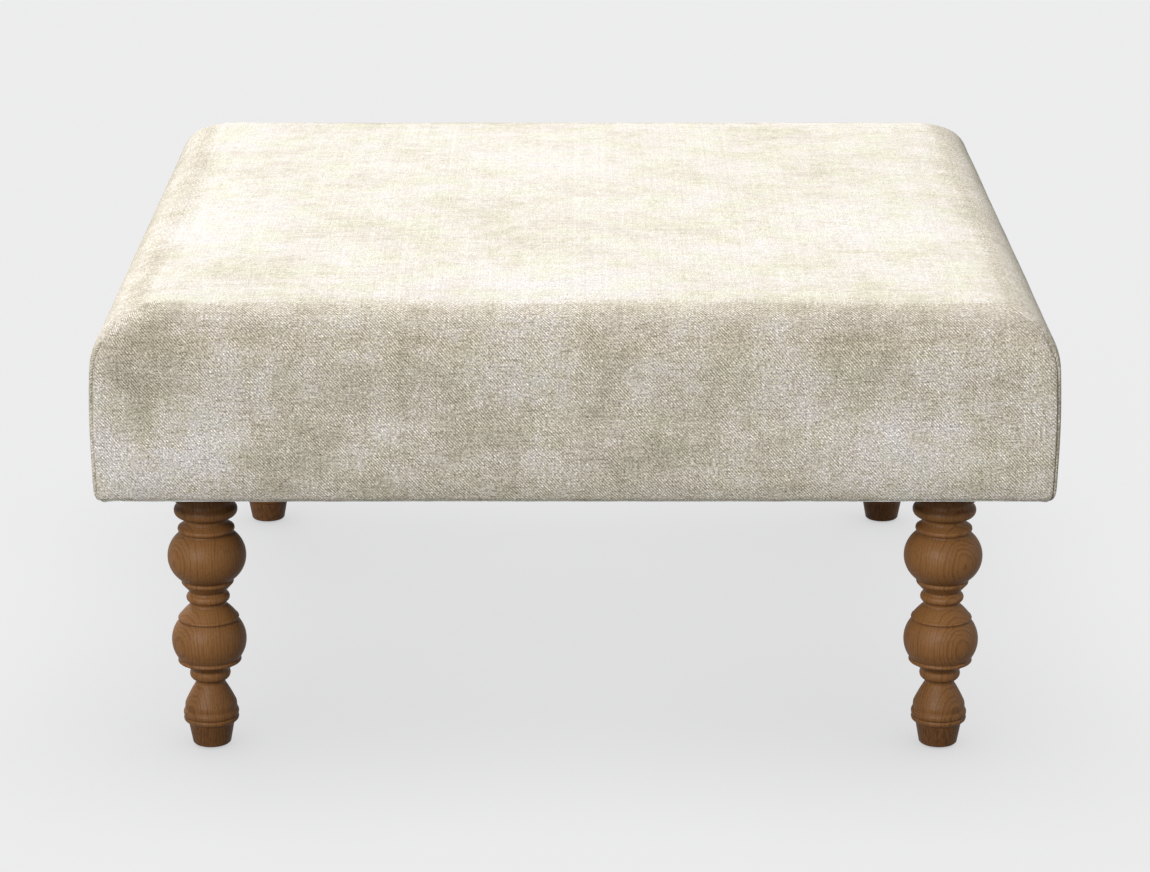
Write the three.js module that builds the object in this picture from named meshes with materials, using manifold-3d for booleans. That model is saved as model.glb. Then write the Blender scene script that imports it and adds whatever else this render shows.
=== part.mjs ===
// Upholstered footstool: a square padded top on four turned wooden legs.
// Millimetres, +Z up, front towards -Y, origin on the floor under the middle of the seat.
import * as THREE from "three";
import { mergeVertices } from "three/addons/utils/BufferGeometryUtils.js";
import Module from "manifold-3d";

const wasm = await Module();
wasm.setup();

// Seat, measured over the cover
const seat_width = 900;
const seat_depth = 900;
const pad_height = 181;
const top_edge_radius = 57;
const hem_radius = 9;
const corner_radius = 12;
const top_corner_radius = 30;
const crown_rise = 8;
const side_swell = 2.5;

// Clearance kept between pieces that touch, and the overrun of every cut
const fit_gap = 0.3;
const cut_overrun = 2;

// Layers of the padding
const cover_thickness = 1.6;
const hem_width = 30;
const wadding_thickness = 7.5;
const hessian_thickness = 0.8;
const hessian_setback = 8;

// Frame
const rail_thickness = 28;
const rail_height = 95;
const rail_corner_radius = 4;
const block_height = 45;
const block_chamfer = 26;

// Webbing
const strap_width = 50;
const strap_thickness = 1.5;
const strap_setback = 7;
const strap_margin = 4;
const straps_each_way = 5;

// Dust cloth under the frame
const dust_cloth_thickness = 0.8;
const dust_cloth_setback = 17;
const dust_cloth_clearance = 0.8;

// Leg plate, its threaded boss and its screws
const plate_size = 64;
const plate_thickness = 2.5;
const plate_corner_radius = 6;
const boss_radius = 7;
const boss_height = 9;
const screw_spacing = 50;
const screw_head_radius = 3.6;
const screw_head_height = 2.2;
const screw_radius = 1.9;
const screw_length = 22;
const screw_point = 5;

// Hanger bolt, half in the leg and half in the boss
const bolt_radius = 4;
const bolt_in_leg = 38;
const bolt_above_leg = 20;
const bolt_point = 8;
const bolt_chamfer = 1.5;

// Glide nailed under each foot
const glide_height = 2;
const glide_radius = 12;
const glide_edge = 1;
const glide_pin_radius = 1.2;
const glide_pin_length = 13;
const glide_pin_point = 3;

// Leg, set in from the outer faces of the cover to its axis, and turned from a square blank
const leg_inset = 95.75;
const leg_length = 272;
const leg_blank_radius = 38;
const leg_tip_share = 0.453;

// What is turned on the leg, from the foot up. Each feature starts where the last one ends. Its radius
// there and how far its curve swells past a straight line are shares of the blank's radius, and its
// rise is a share of the leg's length. The disc on top goes straight up to the plate.
const leg_feature_shares = [
  { feature: "foot_edge", radius: 0.487, rise: 0.0044 },
  { feature: "foot_taper", radius: 0.574, rise: 0.0654 },
  { feature: "collar_underside", radius: 0.597, rise: 0.014 },
  { feature: "lower_collar", radius: 0.7, rise: 0.0224, swell: 0.053, steps: 2 },
  { feature: "collar_groove", radius: 0.689, rise: 0.0011 },
  { feature: "upper_collar", radius: 0.658, rise: 0.0257, swell: 0.034, steps: 2 },
  { feature: "cone_fillet", radius: 0.653, rise: 0.0221 },
  { feature: "cone", radius: 0.376, rise: 0.0728 },
  { feature: "lower_neck", radius: 0.382, rise: 0.0125 },
  { feature: "lower_bead", radius: 0.5, rise: 0.0346, swell: 0.068, steps: 3 },
  { feature: "lip_neck", radius: 0.5, rise: 0.0062 },
  { feature: "lip_cove", radius: 0.784, rise: 0.0283, swell: -0.021, steps: 2 },
  { feature: "lip", radius: 0.805, rise: 0.0085 },
  { feature: "lip_quirk", radius: 0.779, rise: 0.0055 },
  { feature: "small_ball", radius: 0.758, rise: 0.143, swell: 0.184, steps: 6 },
  { feature: "ball_groove", radius: 0.776, rise: 0.0081 },
  { feature: "upper_cone_edge", radius: 0.732, rise: 0.0085 },
  { feature: "upper_cone", radius: 0.471, rise: 0.0382 },
  { feature: "middle_neck", radius: 0.463, rise: 0.0132 },
  { feature: "middle_bead", radius: 0.487, rise: 0.0316, swell: 0.079, steps: 3 },
  { feature: "bead_quirk", radius: 0.466, rise: 0.0081 },
  { feature: "flare", radius: 0.624, rise: 0.025 },
  { feature: "flare_fillet", radius: 0.666, rise: 0.0103 },
  { feature: "ball_quirk", radius: 0.647, rise: 0.0081 },
  { feature: "large_ball", radius: 0.695, rise: 0.171, swell: 0.324, steps: 7 },
  { feature: "ring_quirk", radius: 0.671, rise: 0.0062 },
  { feature: "ring", radius: 0.708, rise: 0.0187, swell: 0.034, steps: 2 },
  { feature: "ring_shoulder", radius: 0.561, rise: 0.0169 },
  { feature: "top_neck", radius: 0.547, rise: 0.0048 },
  { feature: "top_flare", radius: 0.566, rise: 0.0173 },
  { feature: "top_bead", radius: 0.753, rise: 0.0404, swell: 0.139, steps: 4 },
  { feature: "top_cove", radius: 0.721, rise: 0.0228, swell: -0.024, steps: 2 },
  { feature: "disc_edge", radius: 0.832, rise: 0.0026 },
];

// Numbers of flat facets
const leg_segments = 16;
const small_segments = 10;
const screw_segments = 8;
const outline_segments = 2;

// Heights, from the floor up
const leg_top = glide_height + leg_length;
const plate_bottom = leg_top + fit_gap;
const plate_top = plate_bottom + plate_thickness;
const frame_bottom = plate_top + fit_gap;
const hem_top = frame_bottom - fit_gap;
const hem_bottom = hem_top - cover_thickness;
const dust_cloth_bottom = hem_bottom - fit_gap - dust_cloth_thickness;
const rail_top = frame_bottom + rail_height;
const strap_lift = (strap_thickness + fit_gap) / 2;
const webbing_middle = rail_top + fit_gap + strap_thickness / 2 + strap_lift;
const webbing_top = webbing_middle + strap_lift + strap_thickness / 2;
const hessian_bottom = webbing_top + fit_gap;
const foam_bottom = hessian_bottom + hessian_thickness + fit_gap;
const seat_top = hem_bottom + pad_height;

// Widths: how far each layer lies inside the outer face of the cover
const wadding_inset = cover_thickness + fit_gap;
const wadding_inner_inset = wadding_inset + wadding_thickness;
const frame_inset = wadding_inner_inset + fit_gap;
const block_inset = frame_inset + rail_thickness + fit_gap;
const half_width = seat_width / 2;
const half_depth = seat_depth / 2;
const frame_half_width = half_width - frame_inset;
const frame_half_depth = half_depth - frame_inset;
const leg_x = half_width - leg_inset;
const leg_y = half_depth - leg_inset;
const block_half = leg_inset - block_inset;
const bore_radius = bolt_radius + fit_gap;

const corners = [
  { corner: "front_left", x_side: -1, y_side: -1, quarter_turns: 0 },
  { corner: "front_right", x_side: 1, y_side: -1, quarter_turns: 1 },
  { corner: "back_right", x_side: 1, y_side: 1, quarter_turns: 2 },
  { corner: "back_left", x_side: -1, y_side: 1, quarter_turns: 3 },
];
const screw_sides = [
  { place: "a", x_side: -1, y_side: -1 },
  { place: "b", x_side: 1, y_side: -1 },
  { place: "c", x_side: 1, y_side: 1 },
  { place: "d", x_side: -1, y_side: 1 },
];

function material(color, roughness, metalness = 0) {
  return new THREE.MeshStandardMaterial({ color, roughness, metalness });
}

const cover_cloth = () => material(0xd9d2c1, 0.9);
const turned_wood = () => material(0x7a5638, 0.55);
const frame_timber = () => material(0xc9a778, 0.8);
const zinc_steel = () => material(0xb4b7ba, 0.4, 0.9);
const jute = () => material(0xa58a5d, 0.95);
const hessian_cloth = () => material(0xb79c70, 0.95);
const foam = () => material(0xe9e2c4, 0.95);
const polyester_wadding = () => material(0xf2f2ee, 1);
const dust_cloth_felt = () => material(0x2b2b2b, 0.95);
const nylon = () => material(0x6b5a48, 0.6);

function piece(name, geometry, finish) {
  geometry.computeVertexNormals();
  const mesh = new THREE.Mesh(geometry, finish);
  mesh.name = name;
  return mesh;
}

// Booleans

function solidOf(geometry) {
  const bare = geometry.clone();
  bare.deleteAttribute("normal");
  bare.deleteAttribute("uv");
  const merged = mergeVertices(bare);
  const vertProperties = new Float32Array(merged.attributes.position.array);
  const triVerts = new Uint32Array(merged.index.array);
  return new wasm.Manifold(new wasm.Mesh({ numProp: 3, vertProperties, triVerts }));
}

function geometryOf(solid) {
  const mesh = solid.getMesh();
  const geometry = new THREE.BufferGeometry();
  geometry.setAttribute("position", new THREE.BufferAttribute(mesh.vertProperties, 3));
  geometry.setIndex(new THREE.BufferAttribute(mesh.triVerts, 1));
  return geometry;
}

// Outlines and turned profiles

function roundedRectangle(half_x, half_y, radius) {
  const x = half_x - radius;
  const y = half_y - radius;
  const shape = new THREE.Shape();
  shape.absarc(x, y, radius, 0, Math.PI / 2);
  shape.absarc(-x, y, radius, Math.PI / 2, Math.PI);
  shape.absarc(-x, -y, radius, Math.PI, (Math.PI * 3) / 2);
  shape.absarc(x, -y, radius, (Math.PI * 3) / 2, Math.PI * 2);
  shape.closePath();
  return shape;
}

// The corners of a regular polygon, from the middle to a corner the given reach.
function polygon(reach) {
  const points = [];
  for (let step = 0; step < small_segments; step++) {
    const angle = (step * Math.PI * 2) / small_segments;
    points.push(new THREE.Vector2(Math.cos(angle) * reach, Math.sin(angle) * reach));
  }
  return points;
}

// A round hole whose flat sides all lie the full radius away from its middle.
function roundHole(radius) {
  return new THREE.Path(polygon(radius / Math.cos(Math.PI / small_segments)).reverse());
}

function extrude(shape, depth, curveSegments = outline_segments) {
  return new THREE.ExtrudeGeometry(shape, { depth, bevelEnabled: false, curveSegments });
}

function turned(points, segments) {
  return new THREE.LatheGeometry(points, segments).rotateX(Math.PI / 2);
}

// Points of an arc from one point to another that swells sideways past the straight line between them.
function swollenArc(from, to, swell, steps) {
  const chord = to.clone().sub(from);
  const length = chord.length();
  const outward = new THREE.Vector2(chord.y, -chord.x).divideScalar(length);
  const radius = (length * length) / (8 * Math.abs(swell)) + Math.abs(swell) / 2;
  const half_angle = Math.asin(Math.min(1, length / (2 * radius)));
  const points = [];
  for (let step = 1; step <= steps; step++) {
    const angle = half_angle * ((2 * step) / steps - 1);
    const along = (length / 2 + radius * Math.sin(angle)) / length;
    const rise = radius * (Math.cos(angle) - Math.cos(half_angle)) * Math.sign(swell);
    points.push(from.clone().addScaledVector(chord, along).addScaledVector(outward, rise));
  }
  return points;
}

// Padded forms

// One level of a padded form: a loop round a rectangle with rounded corners.
function roundedLoop({ half_x, half_y, radius, z, corner_steps, side_steps }) {
  const loop = [];
  for (let quarter = 0; quarter < 4; quarter++) {
    const x_side = quarter === 0 || quarter === 3 ? 1 : -1;
    const y_side = quarter < 2 ? 1 : -1;
    const centre = new THREE.Vector3(x_side * (half_x - radius), y_side * (half_y - radius), z);
    for (let step = 0; step <= corner_steps; step++) {
      const angle = (quarter + step / corner_steps) * (Math.PI / 2);
      const offset = new THREE.Vector3(Math.cos(angle), Math.sin(angle), 0);
      loop.push(centre.clone().addScaledVector(offset, radius));
    }
    const next_x = -y_side * (half_x - (quarter % 2 ? 0 : radius));
    const next_y = x_side * (half_y - (quarter % 2 ? radius : 0));
    const next = new THREE.Vector3(next_x, next_y, z);
    const last = loop[loop.length - 1];
    for (let step = 1; step < side_steps; step++) {
      loop.push(last.clone().lerp(next, step / side_steps));
    }
  }
  return loop;
}

// Joins loops of equal length into a closed skin with a fan over the first and the last.
function skinOf(loops, bottom_middle, top_middle) {
  const count = loops[0].length;
  const points = [...loops.flat(), bottom_middle, top_middle];
  const bottom = points.length - 2;
  const top = points.length - 1;
  const last = (loops.length - 1) * count;
  const index = [];
  for (let i = 0; i < count; i++) {
    const j = (i + 1) % count;
    index.push(bottom, j, i, top, last + i, last + j);
    for (let row = 0; row < last; row += count) {
      index.push(row + i, row + j, row + count + j);
      index.push(row + i, row + count + j, row + count + i);
    }
  }
  const geometry = new THREE.BufferGeometry().setFromPoints(points);
  geometry.setIndex(index);
  return geometry;
}

// A padded block: rounded at the hem, swollen sides, a round top edge and a crowned top.
function paddedForm(form, steps) {
  const loops = [];
  const level = (inset, z, radius) => {
    const { half_x, half_y } = form;
    loops.push(roundedLoop({ half_x: half_x - inset, half_y: half_y - inset, radius, z, ...steps }));
  };
  for (let step = 0; step < steps.hem_steps; step++) {
    const angle = ((1 - step / steps.hem_steps) * Math.PI) / 2;
    const inset = form.hem_radius * (1 - Math.cos(angle));
    const lift = form.hem_radius * (1 - Math.sin(angle));
    level(inset, form.bottom + lift, Math.max(form.corner_radius - inset, form.hem_corner_radius));
  }
  const wall_bottom = form.bottom + (steps.hem_steps ? form.hem_radius : 0);
  const wall_height = form.top - form.edge_radius - wall_bottom;
  for (let step = 0; step < steps.wall_steps; step++) {
    const share = step / steps.wall_steps;
    const swell = form.swell * Math.sin(Math.PI * share);
    level(-swell, wall_bottom + wall_height * share, form.corner_radius);
  }
  for (let step = 0; step <= steps.edge_steps; step++) {
    const angle = ((step / steps.edge_steps) * Math.PI) / 2;
    const inset = form.edge_radius * (1 - Math.cos(angle));
    const drop = form.edge_radius * (1 - Math.sin(angle));
    const growth = (form.top_corner_radius - form.corner_radius) * Math.sin(angle);
    level(inset, form.top - drop, form.corner_radius + growth);
  }
  const rim = loops[loops.length - 1];
  const crown_x = form.half_x - form.edge_radius;
  const crown_y = form.half_y - form.edge_radius;
  for (let ring = steps.top_rings - 1; ring > 0; ring--) {
    const share = ring / steps.top_rings;
    loops.push(
      rim.map(({ x, y }) => {
        const fall_x = 1 - ((x * share) / crown_x) ** 2;
        const fall_y = 1 - ((y * share) / crown_y) ** 2;
        return new THREE.Vector3(x * share, y * share, form.top + form.crown * fall_x * fall_y);
      }),
    );
  }
  const bottom_middle = new THREE.Vector3(0, 0, form.bottom);
  return skinOf(loops, bottom_middle, new THREE.Vector3(0, 0, form.top + form.crown));
}

const fine_steps = {
  corner_steps: 4,
  side_steps: 6,
  hem_steps: 3,
  wall_steps: 4,
  edge_steps: 7,
  top_rings: 4,
};
const coarse_steps = {
  corner_steps: 2,
  side_steps: 2,
  hem_steps: 2,
  wall_steps: 2,
  edge_steps: 4,
  top_rings: 2,
};

// The cover's outer form, or a layer that lies the given distance inside it.
function layerForm(inset, bottom) {
  return {
    half_x: half_width - inset,
    half_y: half_depth - inset,
    bottom,
    top: seat_top - inset,
    edge_radius: top_edge_radius - inset,
    hem_radius: hem_radius - inset,
    hem_corner_radius: (corner_radius - inset) / 2,
    corner_radius: corner_radius - inset,
    top_corner_radius: top_corner_radius - inset,
    crown: crown_rise,
    swell: side_swell,
  };
}

function topCover() {
  const outer = solidOf(paddedForm(layerForm(0, hem_bottom), fine_steps));
  const inner = solidOf(paddedForm(layerForm(cover_thickness, hem_top), coarse_steps));
  const opening_shape = roundedRectangle(half_width - hem_width, half_depth - hem_width, hem_width);
  const opening = extrude(opening_shape, cover_thickness + 2 * cut_overrun);
  opening.translate(0, 0, hem_bottom - cut_overrun);
  return geometryOf(outer.subtract(inner).subtract(solidOf(opening)));
}

function wadding() {
  const outer = solidOf(paddedForm(layerForm(wadding_inset, frame_bottom), coarse_steps));
  const straight_steps = { ...coarse_steps, hem_steps: 0 };
  const inner_form = layerForm(wadding_inner_inset, frame_bottom - cut_overrun);
  return geometryOf(outer.subtract(solidOf(paddedForm(inner_form, straight_steps))));
}

function foamBlock() {
  const form = { ...layerForm(frame_inset, foam_bottom), swell: 0 };
  return paddedForm(form, { ...coarse_steps, hem_steps: 0, wall_steps: 1 });
}

// Frame

// The front and back rails run the full width and have their outer corners rounded.
function longRail(y_side) {
  const outer = frame_half_depth;
  const inner = frame_half_depth - rail_thickness;
  const bend = frame_half_width - rail_corner_radius;
  const shape = new THREE.Shape();
  shape.moveTo(-frame_half_width, inner);
  shape.lineTo(frame_half_width, inner);
  shape.absarc(bend, outer - rail_corner_radius, rail_corner_radius, 0, Math.PI / 2);
  shape.absarc(-bend, outer - rail_corner_radius, rail_corner_radius, Math.PI / 2, Math.PI);
  shape.closePath();
  const rail = extrude(shape, rail_height);
  rail.translate(0, 0, frame_bottom);
  return y_side > 0 ? rail : rail.rotateZ(Math.PI);
}

// The left and right rails are butted between the long ones.
function shortRail(x_side) {
  const length = 2 * (frame_half_depth - rail_thickness - fit_gap);
  const rail = new THREE.BoxGeometry(rail_thickness, length, rail_height);
  const x = x_side * (frame_half_width - rail_thickness / 2);
  return rail.translate(x, 0, frame_bottom + rail_height / 2);
}

// Everything at a corner is drawn about the leg's axis, for the front left corner.

function cornerBlock() {
  const inner = block_half - block_chamfer;
  const shape = new THREE.Shape();
  shape.moveTo(-block_half, -block_half);
  shape.lineTo(block_half, -block_half);
  shape.lineTo(block_half, inner);
  shape.lineTo(inner, block_half);
  shape.lineTo(-block_half, block_half);
  shape.closePath();
  shape.holes.push(roundHole(boss_radius + fit_gap));
  let block = solidOf(extrude(shape, block_height).translate(0, 0, frame_bottom));
  for (const { x_side, y_side } of screw_sides) {
    const pilot = screwForm(fit_gap);
    placeAtScrew(pilot, x_side, y_side);
    block = block.subtract(solidOf(pilot));
  }
  return geometryOf(block);
}

// A countersunk screw standing on its head, or the hole that it leaves when it is grown by a gap.
function screwForm(gap) {
  const head = screw_head_radius + gap;
  const shank = screw_radius + gap;
  const profile = [
    new THREE.Vector2(0, -gap),
    new THREE.Vector2(head, -gap),
    new THREE.Vector2(shank, screw_head_height),
    new THREE.Vector2(shank, screw_length - screw_point),
    new THREE.Vector2(0, screw_length + gap),
  ];
  return turned(profile, screw_segments);
}

// Puts a screw, or its hole, in place: its head is flush with the underside of the plate.
function placeAtScrew(geometry, x_side, y_side) {
  const reach = screw_spacing / 2;
  return geometry.translate(x_side * reach, y_side * reach, plate_bottom + fit_gap);
}

function legPlate() {
  const half = plate_size / 2;
  const shape = roundedRectangle(half, half, plate_corner_radius);
  shape.holes.push(roundHole(bore_radius));
  let plate = solidOf(extrude(shape, plate_thickness).translate(0, 0, plate_bottom));
  const ring = new THREE.Shape(polygon(boss_radius));
  ring.holes.push(roundHole(bore_radius));
  const boss = extrude(ring, plate_thickness + boss_height);
  plate = plate.add(solidOf(boss.translate(0, 0, plate_bottom)));
  for (const { x_side, y_side } of screw_sides) {
    const countersink = placeAtScrew(screwForm(fit_gap), x_side, y_side);
    plate = plate.subtract(solidOf(countersink));
  }
  return geometryOf(plate);
}

function hangerBolt() {
  const profile = [
    new THREE.Vector2(0, -bolt_in_leg),
    new THREE.Vector2(bolt_radius, bolt_point - bolt_in_leg),
    new THREE.Vector2(bolt_radius, bolt_above_leg - bolt_chamfer),
    new THREE.Vector2(bolt_radius - bolt_chamfer, bolt_above_leg),
    new THREE.Vector2(0, bolt_above_leg),
  ];
  return turned(profile, small_segments).translate(0, 0, leg_top);
}

// The leg's profile runs from the pin hole in the foot, up the outside and into the bolt hole.
function turnedLeg() {
  const pin_hole_radius = glide_pin_radius + fit_gap;
  const pin_hole_depth = glide_pin_length + fit_gap;
  const bolt_hole_depth = bolt_in_leg + fit_gap;
  const profile = [
    new THREE.Vector2(0, pin_hole_depth),
    new THREE.Vector2(pin_hole_radius, pin_hole_depth),
    new THREE.Vector2(pin_hole_radius, 0),
    new THREE.Vector2(leg_tip_share * leg_blank_radius, 0),
  ];
  for (const { radius, rise, swell, steps } of leg_feature_shares) {
    const from = profile[profile.length - 1];
    const to = new THREE.Vector2(radius * leg_blank_radius, from.y + rise * leg_length);
    profile.push(...(swell ? swollenArc(from, to, swell * leg_blank_radius, steps) : [to]));
  }
  profile.push(
    new THREE.Vector2(profile[profile.length - 1].x, leg_length),
    new THREE.Vector2(bore_radius, leg_length),
    new THREE.Vector2(bore_radius, leg_length - bolt_hole_depth),
    new THREE.Vector2(0, leg_length - bolt_hole_depth),
  );
  return turned(profile, leg_segments).translate(0, 0, glide_height);
}

// The glide's pad stops short of the foot by the fit gap, and its pin goes up into the foot.
function footGlide() {
  const pad_top = glide_height - fit_gap;
  const pin_top = glide_height + glide_pin_length;
  const profile = [
    new THREE.Vector2(0, 0),
    new THREE.Vector2(glide_radius - glide_edge, 0),
    new THREE.Vector2(glide_radius, glide_edge),
    new THREE.Vector2(glide_radius, pad_top),
    new THREE.Vector2(glide_pin_radius, pad_top),
    new THREE.Vector2(glide_pin_radius, pin_top - glide_pin_point),
    new THREE.Vector2(0, pin_top),
  ];
  return turned(profile, small_segments);
}

// Webbing, hessian and dust cloth

function strapPlace(index, half_span) {
  const pitch = (2 * half_span) / straps_each_way;
  return (index + 1 / 2) * pitch - half_span;
}

// A strap along X that goes over and under the straps it crosses, at the places given.
function strapForm(half_length, crossings, first_over) {
  const half_flat = strap_width / 2 + strap_margin;
  const half_thickness = strap_thickness / 2;
  const middle = [new THREE.Vector2(-half_length, -strap_lift)];
  crossings.forEach((place, index) => {
    const lift = (index % 2 === 0) === first_over ? strap_lift : -strap_lift;
    middle.push(new THREE.Vector2(place - half_flat, lift));
    middle.push(new THREE.Vector2(place + half_flat, lift));
  });
  middle.push(new THREE.Vector2(half_length, -strap_lift));
  const lower = middle.map(({ x, y }) => new THREE.Vector2(x, y - half_thickness));
  const upper = middle.map(({ x, y }) => new THREE.Vector2(x, y + half_thickness));
  const strap = extrude(new THREE.Shape([...lower, ...upper.reverse()]), strap_width);
  return strap.translate(0, 0, -strap_width / 2).rotateX(Math.PI / 2);
}

function addWebbing(group) {
  const opening_x = frame_half_width - rail_thickness;
  const opening_y = frame_half_depth - rail_thickness;
  const indices = Array.from({ length: straps_each_way }, (_, index) => index);
  const places_x = indices.map((index) => strapPlace(index, opening_x));
  const places_y = indices.map((index) => strapPlace(index, opening_y));
  for (const index of indices) {
    const number = index + 1;
    const over = index % 2 === 0;
    const across = strapForm(frame_half_width - strap_setback, places_x, over);
    across.translate(0, places_y[index], webbing_middle);
    group.add(piece(`webbing_across_${number}`, across, jute()));
    const along = strapForm(frame_half_depth - strap_setback, places_y, !over);
    along.rotateZ(Math.PI / 2).translate(places_x[index], 0, webbing_middle);
    group.add(piece(`webbing_along_${number}`, along, jute()));
  }
}

function hessian() {
  const half_x = frame_half_width - hessian_setback;
  const half_y = frame_half_depth - hessian_setback;
  const sheet = extrude(roundedRectangle(half_x, half_y, hessian_setback), hessian_thickness);
  return sheet.translate(0, 0, hessian_bottom);
}

// A felt sheet over the whole underside, with a hole at each leg plate.
function dustCloth() {
  const half_x = half_width - dust_cloth_setback;
  const half_y = half_depth - dust_cloth_setback;
  const shape = roundedRectangle(half_x, half_y, dust_cloth_setback);
  const hole_half = plate_size / 2 + dust_cloth_clearance;
  const hole_radius = plate_corner_radius + dust_cloth_clearance;
  for (const { x_side, y_side } of corners) {
    const hole = roundedRectangle(hole_half, hole_half, hole_radius);
    const points = hole.getPoints(outline_segments).reverse();
    const moved = points.map(
      ({ x, y }) => new THREE.Vector2(x + x_side * leg_x, y + y_side * leg_y),
    );
    shape.holes.push(new THREE.Path(moved));
  }
  return extrude(shape, dust_cloth_thickness).translate(0, 0, dust_cloth_bottom);
}

// Assembly

function addPad(group) {
  group.add(piece("top_cover", topCover(), cover_cloth()));
  group.add(piece("wadding", wadding(), polyester_wadding()));
  group.add(piece("foam_block", foamBlock(), foam()));
  group.add(piece("hessian", hessian(), hessian_cloth()));
}

function addFrame(group) {
  group.add(piece("front_rail", longRail(-1), frame_timber()));
  group.add(piece("back_rail", longRail(1), frame_timber()));
  group.add(piece("left_rail", shortRail(-1), frame_timber()));
  group.add(piece("right_rail", shortRail(1), frame_timber()));
  group.add(piece("dust_cloth", dustCloth(), dust_cloth_felt()));
}

function cornerGroup({ corner, x_side, y_side, quarter_turns }) {
  const group = new THREE.Group();
  group.position.set(x_side * leg_x, y_side * leg_y, 0);
  group.rotation.z = (quarter_turns * Math.PI) / 2;
  group.add(piece(`${corner}_leg`, turnedLeg(), turned_wood()));
  group.add(piece(`${corner}_glide`, footGlide(), nylon()));
  group.add(piece(`${corner}_block`, cornerBlock(), frame_timber()));
  group.add(piece(`${corner}_plate`, legPlate(), zinc_steel()));
  group.add(piece(`${corner}_hanger_bolt`, hangerBolt(), zinc_steel()));
  for (const screw of screw_sides) {
    const form = placeAtScrew(screwForm(0), screw.x_side, screw.y_side);
    group.add(piece(`${corner}_screw_${screw.place}`, form, zinc_steel()));
  }
  return group;
}

const footstool = new THREE.Group();
addPad(footstool);
addFrame(footstool);
addWebbing(footstool);
for (const corner of corners) {
  footstool.add(cornerGroup(corner));
}

export default footstool;
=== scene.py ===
"""The looks of a square upholstered footstool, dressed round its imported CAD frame.

Sizes are in metres, +Z up, with the front of the stool towards -Y.
"""

import logging
import math
from collections.abc import Callable, Iterator
from contextlib import contextmanager
from dataclasses import dataclass, field
from enum import Enum

import bmesh
import bpy
import numpy as np
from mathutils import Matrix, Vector, noise


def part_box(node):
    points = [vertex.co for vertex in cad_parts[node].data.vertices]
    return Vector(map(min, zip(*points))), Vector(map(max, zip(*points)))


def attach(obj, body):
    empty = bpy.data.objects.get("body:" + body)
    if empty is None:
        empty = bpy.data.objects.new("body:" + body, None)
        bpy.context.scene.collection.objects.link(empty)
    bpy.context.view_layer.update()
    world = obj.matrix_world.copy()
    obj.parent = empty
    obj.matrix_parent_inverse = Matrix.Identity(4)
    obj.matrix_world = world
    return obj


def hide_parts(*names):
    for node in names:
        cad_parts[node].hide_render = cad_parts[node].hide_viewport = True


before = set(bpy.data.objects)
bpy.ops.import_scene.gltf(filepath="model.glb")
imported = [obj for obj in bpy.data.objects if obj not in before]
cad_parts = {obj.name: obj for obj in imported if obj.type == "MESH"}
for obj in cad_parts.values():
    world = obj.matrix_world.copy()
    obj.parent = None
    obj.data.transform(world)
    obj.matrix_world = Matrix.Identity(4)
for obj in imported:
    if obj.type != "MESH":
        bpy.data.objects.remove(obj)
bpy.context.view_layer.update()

MM = 0.001
LOG = logging.getLogger("footstool")

Socket = bpy.types.NodeSocket
Piece = bpy.types.Object
Colour = tuple[float, float, float]


def shade(red: int, green: int, blue: int) -> Colour:
    """Turns a colour as seen on a screen, 0 to 255, into the linear values that shaders take.

    Args:
        red, green, blue: Its levels on the screen.

    Returns:
        The linear values, 0 to 1.
    """

    def linear(level: int) -> float:
        share = level / 255
        return share / 12.92 if share <= 0.04045 else ((share + 0.055) / 1.055) ** 2.4

    return linear(red), linear(green), linear(blue)


class Corner(Enum):
    """The four corners, each with its sides of X and Y."""

    FRONT_LEFT = (-1, -1)
    FRONT_RIGHT = (1, -1)
    BACK_RIGHT = (1, 1)
    BACK_LEFT = (-1, 1)

    @property
    def label(self) -> str:
        """The corner's name in the names of the CAD nodes."""
        return self.name.lower()


class Coordinates(Enum):
    """What a finish lays its pattern by: the place in the stool, or the unfolded cloth."""

    PLACE = "Object"
    CLOTH = "UV"


# Modelling helpers


def activate(piece: Piece) -> None:
    """Selects one piece and nothing else."""
    bpy.ops.object.select_all(action="DESELECT")
    piece.select_set(True)
    bpy.context.view_layer.objects.active = piece


@contextmanager
def editing(piece: Piece) -> Iterator[bmesh.types.BMesh]:
    """Opens a piece in edit mode with nothing selected.

    Args:
        piece: The mesh object to work on.

    Returns:
        The mesh, in which faces, edges and points are selected by their place.
    """
    activate(piece)
    bpy.ops.object.mode_set(mode="EDIT")
    bpy.ops.mesh.select_mode(type="VERT")
    bpy.ops.mesh.select_all(action="DESELECT")
    yield bmesh.from_edit_mesh(piece.data)
    bpy.ops.object.mode_set(mode="OBJECT")


def pick(piece: Piece, mesh: bmesh.types.BMesh, parts: str, test: Callable) -> None:
    """Selects the points, edges or faces that pass a test, and nothing else.

    Args:
        piece: The object in edit mode.
        mesh: Its mesh.
        parts: "verts", "edges" or "faces".
        test: Takes one of them and says whether it is wanted.
    """
    modes = {"verts": "VERT", "edges": "EDGE", "faces": "FACE"}
    bpy.ops.mesh.select_mode(type=modes[parts])
    bpy.ops.mesh.select_all(action="DESELECT")
    for part in getattr(mesh, parts):
        part.select = test(part)
    mesh.select_flush_mode()
    bmesh.update_edit_mesh(piece.data)


def added(name: str) -> Piece:
    """Names the primitive that was just added, with its place in its mesh.

    Args:
        name: The piece's name.

    Returns:
        The new piece.
    """
    piece = bpy.context.active_object
    piece.name = piece.data.name = name
    bpy.ops.object.transform_apply(location=True, rotation=True, scale=True)
    return piece


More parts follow.
